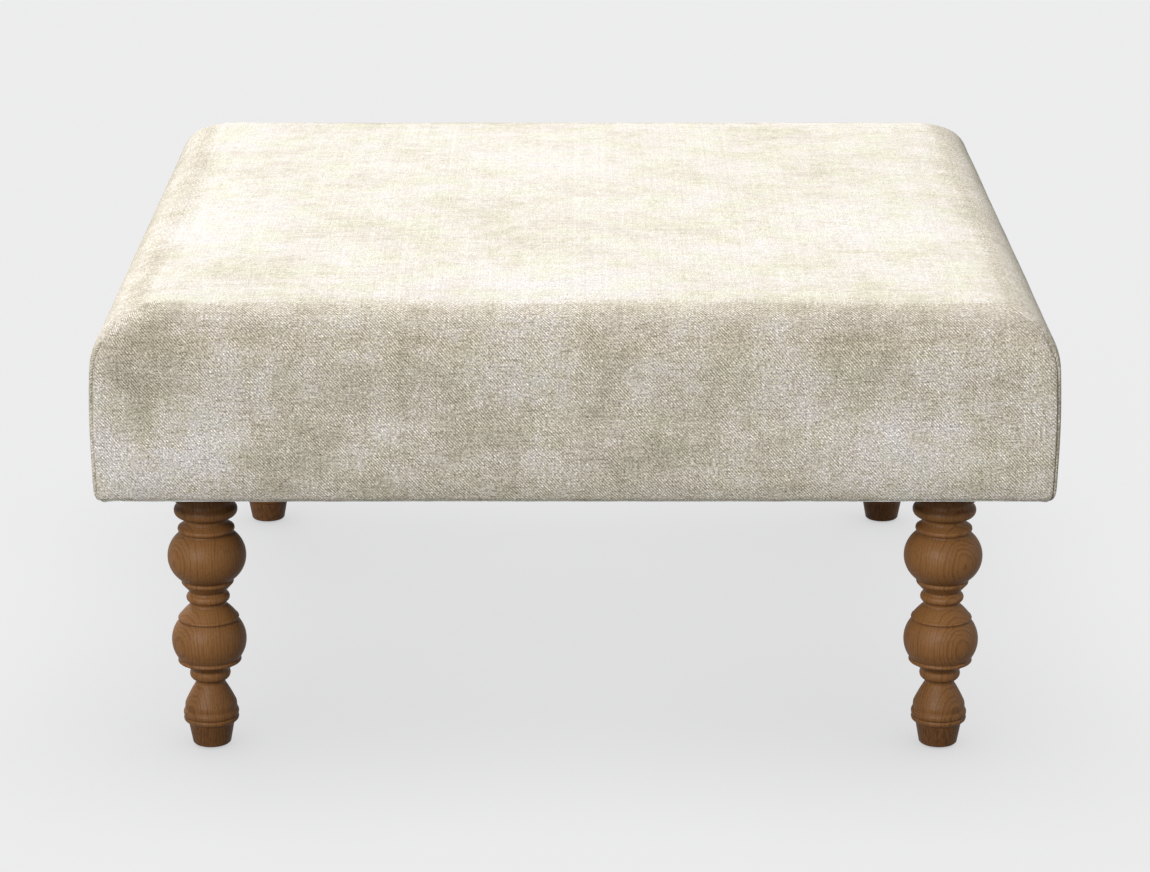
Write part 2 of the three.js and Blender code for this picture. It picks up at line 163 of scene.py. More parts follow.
def block(name: str, low: Vector, high: Vector) -> Piece:
    """Adds a block between two corners, as the start of a piece.

    Args:
        name: The piece's name.
        low, high: Its corners.

    Returns:
        The block.
    """
    middle = (low + high) / 2
    bpy.ops.object.select_all(action="DESELECT")
    bpy.ops.mesh.primitive_cube_add(size=1, location=middle, scale=high - low)
    return added(name)


def drawn(name: str, path: list[tuple[float, float]], side: float = 0.0) -> Piece:
    """Draws a line of edges, as the start of a piece.

    Args:
        name: The piece's name.
        path: Its places along X and up, from point to point.
        side: Its place along Y.

    Returns:
        The piece, a line with no faces.
    """
    bpy.ops.object.select_all(action="DESELECT")
    bpy.ops.mesh.primitive_plane_add(size=MM, location=(path[0][0], side, path[0][1]))
    piece = added(name)
    with editing(piece):
        bpy.ops.mesh.select_all(action="SELECT")
        bpy.ops.mesh.merge(type="CENTER")
        for start, end in zip(path, path[1:]):
            move = (end[0] - start[0], 0, end[1] - start[1])
            bpy.ops.mesh.extrude_vertices_move(TRANSFORM_OT_translate={"value": move})
    return piece


def apply_modifier(piece: Piece, kind: str, **settings: object) -> None:
    """Adds a modifier to a piece and applies it.

    Args:
        piece: The piece.
        kind: The type of modifier.
        settings: Its values by name.
    """
    activate(piece)
    modifier = piece.modifiers.new(kind.lower(), kind)
    for key, value in settings.items():
        setattr(modifier, key, value)
    bpy.ops.object.modifier_apply(modifier=modifier.name)


def points_of(piece: Piece) -> np.ndarray:
    """The places of a piece's points, one row each."""
    places = np.empty(len(piece.data.vertices) * 3)
    piece.data.vertices.foreach_get("co", places)
    return places.reshape(-1, 3)


def move_points(piece: Piece, places: np.ndarray) -> None:
    """Puts a piece's points at new places, one row each."""
    piece.data.vertices.foreach_set("co", places.ravel())
    piece.data.update()


def normals_of(piece: Piece) -> np.ndarray:
    """The directions that a piece's points face, one row each."""
    directions = np.empty(len(piece.data.vertices) * 3, np.float32)
    piece.data.vertex_normals.foreach_get("vector", directions)
    return directions.reshape(-1, 3).astype(float)


def face_outwards(piece: Piece) -> None:
    """Closes a piece's seams and turns its faces outwards."""
    with editing(piece):
        bpy.ops.mesh.select_all(action="SELECT")
        bpy.ops.mesh.remove_doubles(threshold=0.002 * MM)
        bpy.ops.mesh.normals_make_consistent(inside=False)


def smooth(piece: Piece, sharp_above: float = 180) -> None:
    """Shades a piece smooth, but for edges that turn by more than an angle in degrees."""
    activate(piece)
    bpy.ops.object.shade_smooth_by_angle(angle=math.radians(sharp_above))


def mark(piece: Piece, name: str, values: np.ndarray) -> None:
    """Stores a value for each point of a piece, for its finish to read."""
    attribute = piece.data.attributes.new(name, "FLOAT", "POINT")
    attribute.data.foreach_set("value", values.astype(np.float32))


def twin(piece: Piece, name: str, shift: Vector) -> Piece:
    """Copies a piece, with a mesh of its own that is moved by a shift.

    Args:
        piece: What is copied.
        name: The copy's name.
        shift: How far it is moved.

    Returns:
        The copy.
    """
    copy = piece.copy()
    copy.data = piece.data.copy()
    copy.name = copy.data.name = name
    bpy.context.scene.collection.objects.link(copy)
    move_points(copy, points_of(copy) + np.array(shift))
    return copy


def joined(name: str, pieces: list[Piece]) -> Piece:
    """Joins pieces into one, which keeps the first one's place.

    Args:
        name: The new piece's name.
        pieces: What is joined.

    Returns:
        The one piece.
    """
    bpy.ops.object.select_all(action="DESELECT")
    for piece in pieces:
        piece.select_set(True)
    bpy.context.view_layer.objects.active = pieces[0]
    bpy.ops.object.join()
    pieces[0].name = pieces[0].data.name = name
    return pieces[0]


def axis_of(node: str, height: float = 0.0) -> Vector:
    """The point on a CAD node's upright axis that is at a height."""
    low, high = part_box(node)
    return Vector(((low.x + high.x) / 2, (low.y + high.y) / 2, height))


def ripple(places: np.ndarray, size: float, seed: float, octaves: int = 3) -> np.ndarray:
    """Smooth noise at each place.

    Args:
        places: Rows of three numbers.
        size: How long one wave is, in metres.
        seed: Shifts the pattern, so that no two uses are alike.
        octaves: How many finer waves are added.

    Returns:
        One value a row, about -1 to 1.
    """
    shift = Vector((seed, seed * 0.7, -seed))
    waves = [noise.fractal(Vector(p) / size + shift, 1.0, 2.0, octaves) for p in places]
    return np.array(waves)


def finish_piece(piece: Piece, finish: bpy.types.Material, slot: str, *nodes: str) -> None:
    """Dresses a piece, sets it on the stool and lets it stand for its CAD nodes.

    Args:
        piece: The finished mesh.
        finish: Its material.
        slot: The record's material slot. Not used.
        nodes: The CAD nodes that it replaces.
    """
    piece.data.materials.clear()
    piece.data.materials.append(finish)
    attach(piece, "root")
    if nodes:
        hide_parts(*nodes)
    LOG.info("%s: %d faces", piece.name, len(piece.data.polygons))


# Shader helpers


@dataclass
class NodeBench:
    """Adds nodes to one tree and joins them up.

    Attributes:
        tree: The node tree of a material or of a group.
    """

    tree: bpy.types.NodeTree

    def add(self, kind: str, inputs: dict | None = None, **settings: object) -> bpy.types.Node:
        """Adds a node.

        Args:
            kind: The node's type, without its ShaderNode.
            inputs: Values or sockets by the input's name or number.
            settings: The node's own settings.

        Returns:
            The node.
        """
        node = self.tree.nodes.new("ShaderNode" + kind)
        for key, value in settings.items():
            setattr(node, key, value)
        for key, value in (inputs or {}).items():
            self.put(node.inputs[key], value)
        return node

    def fill(self, node: bpy.types.Node, **inputs: object) -> None:
        """Links or sets a node's inputs, by their names with _ for a space."""
        for key, value in inputs.items():
            self.put(node.inputs[key.replace("_", " ")], value)

    def put(self, socket: Socket, value: object) -> None:
        """Links a socket to an input, or sets the input's value."""
        if isinstance(value, Socket):
            self.tree.links.new(value, socket)
        elif isinstance(value, tuple) and socket.type == "RGBA":
            socket.default_value = (*value, 1.0)
        else:
            socket.default_value = value

    def math(self, operation: str, *values: object, clamp: bool = False) -> Socket:
        """Works out one operation on up to three numbers."""
        inputs = dict(enumerate(values))
        node = self.add("Math", inputs, operation=operation, use_clamp=clamp)
        return node.outputs[0]

    def times(self, first: object, second: object, clamp: bool = False) -> Socket:
        """Multiplies two numbers."""
        return self.math("MULTIPLY", first, second, clamp=clamp)

    def scaled(self, value: object, gain: object, offset: object, clamp: bool = False) -> Socket:
        """Multiplies a number by a gain and adds an offset."""
        return self.math("MULTIPLY_ADD", value, gain, offset, clamp=clamp)

    def marked(self, name: str) -> Socket:
        """The value that a piece stores under a name."""
        return self.add("Attribute", attribute_name=name).outputs["Fac"]

    def sum(self, *values: object) -> Socket:
        """Adds up numbers."""
        total = values[0]
        for value in values[1:]:
            total = self.math("ADD", total, value)
        return total

    def spread(self, value: Socket, low: float, high: float) -> Socket:
        """Eases a value from 0 at low to 1 at high."""
        inputs = {"Value": value, "From Min": low, "From Max": high}
        return self.add("MapRange", inputs, interpolation_type="SMOOTHSTEP").outputs["Result"]

    def blend(self, factor: object, first: object, second: object) -> Socket:
        """Mixes two colours."""
        inputs = {"Factor": factor, 6: first, 7: second}
        return self.add("Mix", inputs, data_type="RGBA").outputs[2]

    def tint(self, colour: object, factor: object, second: object) -> Socket:
        """Multiplies a colour by another, by a share."""
        inputs = {"Factor": factor, 6: colour, 7: second}
        node = self.add("Mix", inputs, data_type="RGBA", blend_type="MULTIPLY")
        return node.outputs[2]

    def stretch(self, vector: Socket, scale: tuple) -> Socket:
        """Scales a place along its three directions, as cycles a metre."""
        return self.add("Mapping", {"Vector": vector, "Scale": scale}).outputs[0]

    def noise(self, vector: Socket, scale: object, detail: float = 2.0, rough: float = 0.5) -> Socket:
        """Smooth noise, about 0 to 1."""
        inputs = {"Vector": vector, "Scale": scale, "Detail": detail, "Roughness": rough}
        return self.add("TexNoise", inputs).outputs[0]

    def bump(self, height: Socket, depth: float, strength: float = 1.0) -> Socket:
        """Turns a height into a normal, for a depth in metres."""
        inputs = {"Height": height, "Distance": depth, "Strength": strength}
        return self.add("Bump", inputs).outputs["Normal"]


def shader_group(build: Callable, inputs: dict, outputs: tuple[str, ...]) -> bpy.types.NodeTree:
    """Makes a node group with named inputs and outputs.

    Args:
        build: Takes the bench and the inputs by name, and gives the outputs by name.
        inputs: The value of each number, and None for a place.
        outputs: The names of the numbers that it gives.

    Returns:
        The group's tree.
    """
    tree = bpy.data.node_groups.new(build.__name__, "ShaderNodeTree")
    for label, value in inputs.items():
        kind = "NodeSocketVector" if value is None else "NodeSocketFloat"
        socket = tree.interface.new_socket(label, in_out="INPUT", socket_type=kind)
        if value is not None:
            socket.default_value = value
    for label in outputs:
        tree.interface.new_socket(label, in_out="OUTPUT", socket_type="NodeSocketFloat")
    entry = tree.nodes.new("NodeGroupInput")
    leave = tree.nodes.new("NodeGroupOutput")
    sources = {label: entry.outputs[label] for label in inputs}
    for label, socket in build(NodeBench(tree), sources).items():
        tree.links.new(socket, leave.inputs[label])
    return tree


# Effects that more than one finish uses


def woven_threads(bench: NodeBench, given: dict) -> dict:
    """Threads that float over and under each other, each float one thread on from the last.

    Args:
        bench: The group's nodes.
        given: The cloth's flat place, the pitch of both sets of threads, the number of shafts and how
            far the threads wander, in threads.

    Returns:
        The height, whether the warp is on top, each thread's own tone, and a speckle from crossing to
        crossing.
    """
    wander = bench.times(given["Wander"], bench.noise(given["Cloth"], 110.0))
    place = bench.add("SeparateXYZ", {0: given["Cloth"]})
    across = bench.sum(bench.math("DIVIDE", place.outputs[0], given["Warp Pitch"]), wander)
    along = bench.sum(bench.math("DIVIDE", place.outputs[1], given["Weft Pitch"]), wander)
    warp = bench.math("FLOOR", across)
    weft = bench.math("FLOOR", along)
    half_turn = bench.math("DIVIDE", math.tau, given["Shafts"])

    def thread(cell: Socket, run: Socket, side: Socket, sign: float) -> Socket:
        """How high one set of threads lies: round in section, and lifted where it floats on top."""
        lift = bench.math("SINE", bench.times(bench.sum(cell, run), half_turn))
        lift = bench.times(lift, sign)
        lift = bench.scaled(lift, 0.45, 0.55)
        bulge = bench.math("SINE", bench.times(bench.math("FRACT", side), math.pi))
        return bench.times(lift, bench.scaled(bulge, 0.6, 0.4))

    def tone(cell: Socket, run: Socket) -> Socket:
        """A shade of each thread's own, which drifts along it as the spinning does."""
        drift = bench.add("CombineXYZ", {0: bench.times(cell, 5.3), 1: run})
        slub = bench.noise(drift.outputs[0], 0.17, 3.0, 0.7)
        own = bench.add("TexWhiteNoise", {"W": bench.sum(cell, 0.5)}, noise_dimensions="1D")
        return bench.scaled(own.outputs["Value"], 0.12, bench.times(slub, 0.88))

    warp_height = thread(warp, along, across, 1.0)
    weft_height = thread(weft, across, along, -1.0)
    on_top = bench.spread(bench.math("SUBTRACT", warp_height, weft_height), -0.12, 0.12)
    weft_tone = tone(bench.sum(weft, 700.0), across)
    shift = bench.math("SUBTRACT", tone(warp, along), weft_tone)
    crossing = bench.add("CombineXYZ", {0: bench.sum(warp, 0.5), 1: bench.sum(weft, 0.5)})
    float_tone = bench.add("TexWhiteNoise", {"Vector": crossing.outputs[0]}, noise_dimensions="2D")
    return {
        "Height": bench.math("MAXIMUM", warp_height, weft_height),
        "Warp On Top": on_top,
        "Tone": bench.scaled(shift, on_top, weft_tone),
        "Speckle": float_tone.outputs["Value"],
    }


def mottling(bench: NodeBench, given: dict) -> dict:
    """Clouds and streaks of uneven dyeing and wear, along and across the cloth.

    Args:
        bench: The group's nodes.
        given: The place and the size of a cloud.

    Returns:
        Clouds, and streaks both ways, each about 0 to 1.
    """
    cycles = bench.math("DIVIDE", 1.0, given["Cloud Size"])
    warp_way = bench.stretch(given["Place"], (5.0, 1.0, 1.0))
    weft_way = bench.stretch(given["Place"], (1.0, 6.0, 1.0))
    clouds = bench.noise(given["Place"], cycles, 6.0, 0.62)
    streaks = bench.times(bench.noise(warp_way, cycles, 4.0, 0.65), 0.45)
    streaks = bench.scaled(bench.noise(weft_way, cycles, 4.0, 0.65), 0.55, streaks)
    return {"Clouds": clouds, "Streaks": streaks}


def timber_figure(bench: NodeBench, given: dict) -> dict:
    """Growth rings about a pith, with fibres and pores that run up the timber.

    Args:
        bench: The group's nodes.
        given: The place about the piece's axis, with the grain along Z, how far off the pith is along
            X, and the width of a ring.

    Returns:
        The late wood, the fibres and the pores, each 0 to 1.
    """
    drift = bench.noise(bench.stretch(given["Place"], (14.0, 14.0, 5.0)), 1.0, 2.0)
    place = bench.add("SeparateXYZ", {0: given["Place"]})
    off_x = bench.math("SUBTRACT", place.outputs[0], given["Pith Offset"])
    square = bench.sum(bench.math("POWER", off_x, 2.0), bench.math("POWER", place.outputs[1], 2.0))
    reach = bench.math("SQRT", square)
    lean = bench.times(place.outputs[2], 0.035)
    waver = bench.noise(bench.stretch(given["Place"], (110.0, 110.0, 6.0)), 1.0, 2.0)
    radius = bench.sum(reach, lean, bench.times(drift, 0.012), bench.times(waver, 0.005))
    turns = bench.math("DIVIDE", radius, given["Ring Width"])
    ring = bench.math("FRACT", turns)
    late = bench.math("SUBTRACT", bench.spread(ring, 0.25, 0.9), bench.spread(ring, 0.93, 1.0))
    year = bench.add("TexWhiteNoise", {"W": bench.math("FLOOR", turns)}, noise_dimensions="1D")
    late = bench.times(late, bench.scaled(year.outputs["Value"], 0.75, 0.25))
    fibres = bench.noise(bench.stretch(given["Place"], (900.0, 900.0, 22.0)), 1.0, 3.0, 0.6)
    pores = bench.noise(bench.stretch(given["Place"], (2300.0, 2300.0, 90.0)), 1.0, 1.0)
    return {"Late Wood": late, "Fibres": fibres, "Pores": bench.spread(pores, 0.62, 0.7)}


def matted_fibres(bench: NodeBench, given: dict) -> dict:
    """Loose fibres that lie every way, as in felt and wadding.

    Args:
        bench: The group's nodes.
        given: The place, and the length of a fibre.

    Returns:
        The height of the fibres, and soft lumps.
    """
    cycles = bench.math("DIVIDE", 1.0, given["Fibre Length"])
    warp = bench.add("TexNoise", {"Vector": given["Place"], "Scale": cycles, "Detail": 2.0})
    pull = bench.add("VectorMath", {0: warp.outputs["Color"], 3: 0.012}, operation="SCALE")
    bent = bench.add("VectorMath", {0: given["Place"], 1: pull.outputs[0]})
    height = 0.0
    for turn, scale in enumerate(((1, 9, 4), (9, 1, 5), (5, 6, 1))):
        strands = bench.stretch(bent.outputs[0], scale)
        fibre = bench.noise(strands, bench.times(cycles, 1.0 + turn / 4), 1.0)
        ridge = bench.math("ABSOLUTE", bench.math("SUBTRACT", fibre, 0.5))
        height = bench.sum(height, bench.spread(ridge, 0.09, 0.0))
    lumps = bench.noise(given["Place"], bench.times(cycles, 0.35), 2.0)
    return {"Fibres": bench.times(height, 0.4), "Lumps": lumps}


EFFECTS = (
    (
        woven_threads,
        {"Cloth": None, "Warp Pitch": 0.8 * MM, "Weft Pitch": 0.8 * MM, "Shafts": 4.0, "Wander": 0.5},
        ("Height", "Warp On Top", "Tone", "Speckle"),
    ),
    (mottling, {"Place": None, "Cloud Size": 0.1}, ("Clouds", "Streaks")),
    (
        timber_figure,
        {"Place": None, "Pith Offset": 0.05, "Ring Width": 0.004},
        ("Late Wood", "Fibres", "Pores"),
    ),
    (matted_fibres, {"Place": None, "Fibre Length": 0.02}, ("Fibres", "Lumps")),
)
GROUPS = {effect.__name__: shader_group(effect, inputs, outputs) for effect, inputs, outputs in EFFECTS}


# Finishes


class Finish:
    """What the finishes share: a material with its bench, its shader and the place to read."""

    @staticmethod
    def start(name: str, coordinates: Coordinates, **constants: float) -> tuple:
        """Makes an empty material with a Principled shader.

        Args:
            name: The material's name.
            coordinates: What its pattern is laid by.
            constants: Values of the shader that are the same all over, by the input's name with _
                for a space.

        Returns:
            The material, its bench, its shader and the place or the unfolded cloth to read.
        """
        material = bpy.data.materials.new(name)
        material.use_nodes = True
        material.node_tree.nodes.clear()
        bench = NodeBench(material.node_tree)
        shader = bench.add("BsdfPrincipled")
        bench.fill(shader, **constants)
        bench.add("OutputMaterial", {"Surface": shader.outputs[0]})
        place = bench.add("TexCoord").outputs[coordinates.value]
        return material, bench, shader, place

    @staticmethod
    def group(bench: NodeBench, name: str, **inputs: object) -> bpy.types.NodeOutputs:
        """Places a shared effect in a material, with its own values."""
        node = bench.add("Group", node_tree=GROUPS[name])
        bench.fill(node, **inputs)
        return node.outputs


@dataclass(frozen=True)
class CoverCloth(Finish):
    """Mottled cream twill: pale warp over a darker weft, with cooler patches where the nap is worn.

    Attributes:
        warp, weft: The colours of the threads.
        worn, worn_weft: The cooler, paler threads of the worn patches.
        shadow: What the darker clouds multiply the cloth by.
        drab: What the greener clouds multiply the cloth by.
        slub: What a thick dark thread multiplies the cloth by.
        gap: The painted shade in the gaps between the threads: what it multiplies the cloth by.
        bent, painted_top_tint: What the painted shade over the round edges, and the warmer painted top light
            in clouds, multiply the cloth by.
        crease: What the painted shade along the groove of a sewn seam multiplies the cloth by.
        tone, speckle: What the darkest thread, and the darkest crossing of two threads, multiply it by.
        grain, grain_cycles: How uneven the spinning of the yarn is, fading out on the top with the painted
            top
        light, and how often it changes along and across the cloth, in cycles a metre.
        warp_pitch, weft_pitch: From thread to thread.
        cloud, small_cloud: The sizes of the clouds of dye.
    """

    warp: Colour = shade(255, 250, 239)
    weft: Colour = shade(194, 184, 168)
    worn: Colour = shade(255, 252, 252)
    worn_weft: Colour = shade(214, 208, 206)
    shadow: Colour = (0.69, 0.68, 0.645)
    drab: Colour = (0.975, 0.988, 0.95)
    slub: Colour = (0.62, 0.595, 0.55)
    gap: Colour = (0.74, 0.725, 0.70)
    bent: Colour = (0.83, 0.808, 0.755)
    crease: Colour = (0.60, 0.57, 0.52)
    painted_top_tint: Colour = (0.985, 1.025, 0.94)
    tone: Colour = (0.70, 0.68, 0.65)
    speckle: Colour = (0.60, 0.592, 0.575)
    grain: float = 2.4
    grain_cycles: tuple[float, float, float] = (400.0, 500.0, 1.0)
    warp_pitch: float = 0.735 * MM
    weft_pitch: float = 0.83 * MM
    cloud: float = 85 * MM
    small_cloud: float = 24 * MM

    def paleness(self, bench: NodeBench, cloth: Socket, upper: Socket) -> Socket:
        """How pale the cloth is: its worn patches, with clouds and streaks of dye, and paler on the top as
        painted light.

        Args:
            bench: The material's nodes.
            cloth: The place in the unfolded cloth.
            upper: The share of the painted top light, 1 on the top.

        Returns:
            The level, about -1 to 1.
        """
        dye = self.group(bench, "mottling", Place=cloth, Cloud_Size=self.cloud)
        fine = self.group(bench, "mottling", Place=cloth, Cloud_Size=self.small_cloud)
        level = bench.times(bench.marked("nap"), 0.8)
        for pattern, gain in (
            (dye["Clouds"], 2.4), (dye["Streaks"], 2.6), (fine["Streaks"], 3.6), (fine["Clouds"], 1.6),
        ):
            level = bench.sum(level, bench.scaled(pattern, gain, -gain / 2))
        # Painted top light: the top is paler, with less contrast in its clouds.
        level = bench.times(level, bench.scaled(upper, -0.12, 1.0))
        return bench.scaled(upper, 0.44, level)

    def spun(self, bench: NodeBench, cloth: Socket, upper: Socket, weave: dict, colour: Socket) -> Socket:
        """Tints the cloth by its single threads, by the uneven spinning, by thick dark threads and by
        painted shade between the threads.

        Args:
            bench: The material's nodes.
            cloth: The place in the unfolded cloth.
            upper: The share of the painted top light, 1 on the top, where the grain fades out.
            weave: What the woven threads give.
            colour: The colour of the dyed cloth.

        Returns:
            The colour.
        """
        colour = bench.tint(colour, bench.spread(weave["Tone"], 0.72, 0.28), self.tone)
        colour = bench.tint(colour, weave["Speckle"], self.speckle)
        # Painted shade in the gaps between the threads, where the weave lies low.
        colour = bench.tint(colour, bench.spread(weave["Height"], 0.62, 0.30), self.gap)
        grain = bench.noise(bench.stretch(cloth, self.grain_cycles), 1.0, 2.0, 0.7)
        reach = bench.scaled(upper, -self.grain, self.grain)
        colour = bench.tint(colour, 1.0, bench.scaled(bench.math("SUBTRACT", grain, 0.5), reach, 1.0))
        for cycles, least in (((60.0, 900.0, 1.0), 0.60), ((900.0, 70.0, 1.0), 0.64)):
            thick = bench.noise(bench.stretch(cloth, cycles), 1.0, 1.0)
            colour = bench.tint(colour, bench.spread(thick, least, least + 0.14), self.slub)
        return colour

    def material(self) -> bpy.types.Material:
        """Builds the material of the cover.

        Returns:
            The material.
        """
        material, bench, shader, cloth = self.start(
            "cover_cloth", Coordinates.CLOTH, Roughness=0.85, Sheen_Weight=0.08, Sheen_Roughness=0.5,
            Specular_IOR_Level=0.12,
        )
        pitch = {"Warp_Pitch": self.warp_pitch, "Weft_Pitch": self.weft_pitch}
        weave = self.group(bench, "woven_threads", Cloth=cloth, Wander=1.0, **pitch)
        # Painted light: paler and warmer on the top, and painted shade over the round edge, by how far below
        # the rim.
        brushed = bench.marked("brushed")
        upper = bench.math("MAXIMUM", brushed, 0.0)
        level = self.paleness(bench, cloth, upper)
        worn = bench.spread(level, -0.2, 1.3)
        dark = bench.spread(level, 0.6, -1.3)
        warp = bench.blend(worn, self.warp, self.worn)
        weft = bench.blend(worn, self.weft, self.worn_weft)
        ribs = bench.scaled(bench.noise(cloth, 45.0, 3.0), 3.4, -0.95)
        contrast = bench.math("SUBTRACT", weave["Warp On Top"], 0.5)
        on_top = bench.scaled(contrast, ribs, 0.5, clamp=True)
        colour = bench.blend(on_top, weft, warp)
        colour = bench.tint(colour, dark, self.shadow)
        hue = bench.noise(bench.stretch(cloth, (1.0, 1.3, 1.0)), 17.0, 3.0, 0.6)
        # Painted top light: a warmer tint in clouds on the top.
        drab = bench.blend(upper, self.drab, self.painted_top_tint)
        colour = bench.tint(colour, bench.spread(hue, 0.42, 0.62), drab)
        # Painted shade over the round edge and the top of the wall.
        colour = bench.tint(colour, bench.times(brushed, -1.0, clamp=True), self.bent)
        colour = self.spun(bench, cloth, upper, weave, colour)
        # Painted shade: a dark line along the middle of each seam groove.
        colour = bench.tint(colour, bench.marked("seam"), self.crease)
        bench.fill(shader, Base_Color=colour, Normal=bench.bump(weave["Height"], 0.3 * MM, 0.6))
        return material


@dataclass(frozen=True)
class TurnedWood(Finish):
    """Mid-brown stained hardwood, darker where the stain gathers in the quirks and on the foot, and with
    painted shade under the cover, on the downward faces and towards the floor.

    Attributes:
        early, late: The colours of the early and the late wood.
        stain: The colour in the grooves and on the foot, also used for the painted shade.
        pith_offset: How far the pith lies off the leg's axis.
        ring_width: The width of a growth ring.
    """

    early: Colour = shade(124, 86, 49)
    late: Colour = shade(98, 65, 35)
    stain: Colour = (0.36, 0.31, 0.26)
    pith_offset: float = 62 * MM
    ring_width: float = 2.9 * MM

    def material(self, name: str, axis: Vector, turn: float) -> bpy.types.Material:
        """Builds the material of one leg.

        Args:
            name: The material's name.
            axis: A point on the leg's axis.
            turn: The angle round the axis at which the pith lies, in radians.

        Returns:
            The material.
        """
        material, bench, shader, place = self.start(name, Coordinates.PLACE, Specular_IOR_Level=0.16)
        centred = bench.add("Mapping", {0: place, "Location": -axis}, vector_type="POINT")
        turned = bench.add("VectorRotate", {0: centred.outputs[0], "Angle": -turn}, rotation_type="Z_AXIS")
        sizes = {"Pith_Offset": self.pith_offset, "Ring_Width": self.ring_width}
        grain = self.group(bench, "timber_figure", Place=turned.outputs[0], **sizes)
        fibres = bench.spread(grain["Fibres"], 0.35, 0.7)
        colour = bench.blend(bench.times(grain["Late Wood"], 0.8), self.early, self.late)
        colour = bench.tint(colour, fibres, (0.80, 0.76, 0.71))
        colour = bench.tint(colour, bench.times(grain["Pores"], 0.45), (0.52, 0.46, 0.40))
        # Stain in the grooves and on the foot, and painted shade: under the cover, on the downward faces and
        # towards the floor.
        stain_and_shade = bench.marked("stain_and_shade")
        stain_and_shade_share = bench.times(stain_and_shade, bench.scaled(fibres, 0.3, 0.7))
        colour = bench.tint(colour, stain_and_shade_share, self.stain)
        height = bench.scaled(grain["Fibres"], 0.5, bench.times(grain["Late Wood"], 0.3))
        bench.fill(
            shader,
            Base_Color=colour,
            Roughness=bench.scaled(grain["Fibres"], 0.2, 0.42),
            Normal=bench.bump(height, 0.08 * MM, 0.5),
        )
        return material


@dataclass(frozen=True)
class FrameTimber(Finish):
    """Planed, unfinished hardwood of the hidden frame.

    Attributes:
        early, late: The colours of the early and the late wood.
    """

    early: Colour = shade(214, 182, 138)
    late: Colour = shade(186, 149, 104)

    def material(self, name: str, turn: tuple) -> bpy.types.Material:
        """Builds the material of timber whose grain runs one way.

        Args:
            name: The material's name.
            turn: The turn that brings the grain to Z, as three angles.

        Returns:
            The material.
        """
        material, bench, shader, place = self.start(name, Coordinates.PLACE, Specular_IOR_Level=0.25)
        turned = bench.add("Mapping", {0: place, "Rotation": turn}).outputs[0]
        grain = self.group(bench, "timber_figure", Place=turned, Pith_Offset=0.31, Ring_Width=0.0052)
        colour = bench.blend(grain["Late Wood"], self.early, self.late)
        colour = bench.tint(colour, bench.spread(grain["Fibres"], 0.35, 0.7), (0.86, 0.83, 0.79))
        colour = bench.tint(colour, bench.times(grain["Pores"], 0.5), (0.55, 0.48, 0.42))
        bench.fill(
            shader,
            Base_Color=colour,
            Roughness=bench.scaled(grain["Fibres"], 0.2, 0.62),
            Normal=bench.bump(grain["Fibres"], 0.12 * MM, 0.6),
        )
        return material


@dataclass(frozen=True)
class JuteCloth(Finish):
    """Coarse plain-woven jute: the hessian and, closer woven, the webbing.

    Attributes:
        label: The material's name.
        thread, gap: The colours of a thread and of the holes between the threads, which are painted dark as
            shade.
        pitch: From thread to thread.
    """

    label: str
    thread: Colour
    gap: Colour
    pitch: float

    def material(self) -> bpy.types.Material:
        """Builds the material of a jute cloth.

        Returns:
            The material.
        """
        material, bench, shader, cloth = self.start(
            self.label, Coordinates.CLOTH, Roughness=0.9, Specular_IOR_Level=0.15, Sheen_Weight=0.1
        )
        pitch = {"Warp_Pitch": self.pitch, "Weft_Pitch": self.pitch}
        weave = self.group(bench, "woven_threads", Cloth=cloth, Shafts=2.0, Wander=0.9, **pitch)
        dye = self.group(bench, "mottling", Place=cloth, Cloud_Size=0.05)
        depth = bench.spread(weave["Height"], 0.2, 0.55)
        # Painted shade where the weave lies low, between the threads.
        colour = bench.blend(depth, self.gap, self.thread)
        colour = bench.tint(colour, bench.spread(weave["Tone"], 0.7, 0.3), (0.66, 0.60, 0.52))
        colour = bench.tint(colour, bench.spread(dye["Clouds"], 0.5, 0.2), (0.82, 0.80, 0.76))
        bench.fill(shader, Base_Color=colour, Normal=bench.bump(weave["Height"], 0.5 * MM, 0.8))
        return material


@dataclass(frozen=True)
class FibreMat(Finish):
    """Matted fibres: the white wadding and the black felted dust cloth.

    Attributes:
        label: The material's name.
        fibre, hollow: The colours of the fibres and of the painted shade between them.
        fibre_length: The length of a fibre.
        depth: The relief of the fibres.
    """

    label: str
    fibre: Colour
    hollow: Colour
    fibre_length: float
    depth: float

    def material(self) -> bpy.types.Material:
        """Builds the material of a mat of fibres.

        Returns:
            The material.
        """
        material, bench, shader, place = self.start(
            self.label, Coordinates.PLACE, Roughness=0.95, Specular_IOR_Level=0.12, Sheen_Weight=0.25
        )
        mat = self.group(bench, "matted_fibres", Place=place, Fibre_Length=self.fibre_length)
        # Painted shade between the fibres, and in the dips between the lumps.
        colour = bench.blend(mat["Fibres"], self.hollow, self.fibre)
        colour = bench.tint(colour, bench.spread(mat["Lumps"], 0.6, 0.3), (0.86, 0.86, 0.86))
        height = bench.scaled(mat["Lumps"], 1.5, mat["Fibres"])
        bench.fill(shader, Base_Color=colour, Normal=bench.bump(height, self.depth, 0.7))
        return material


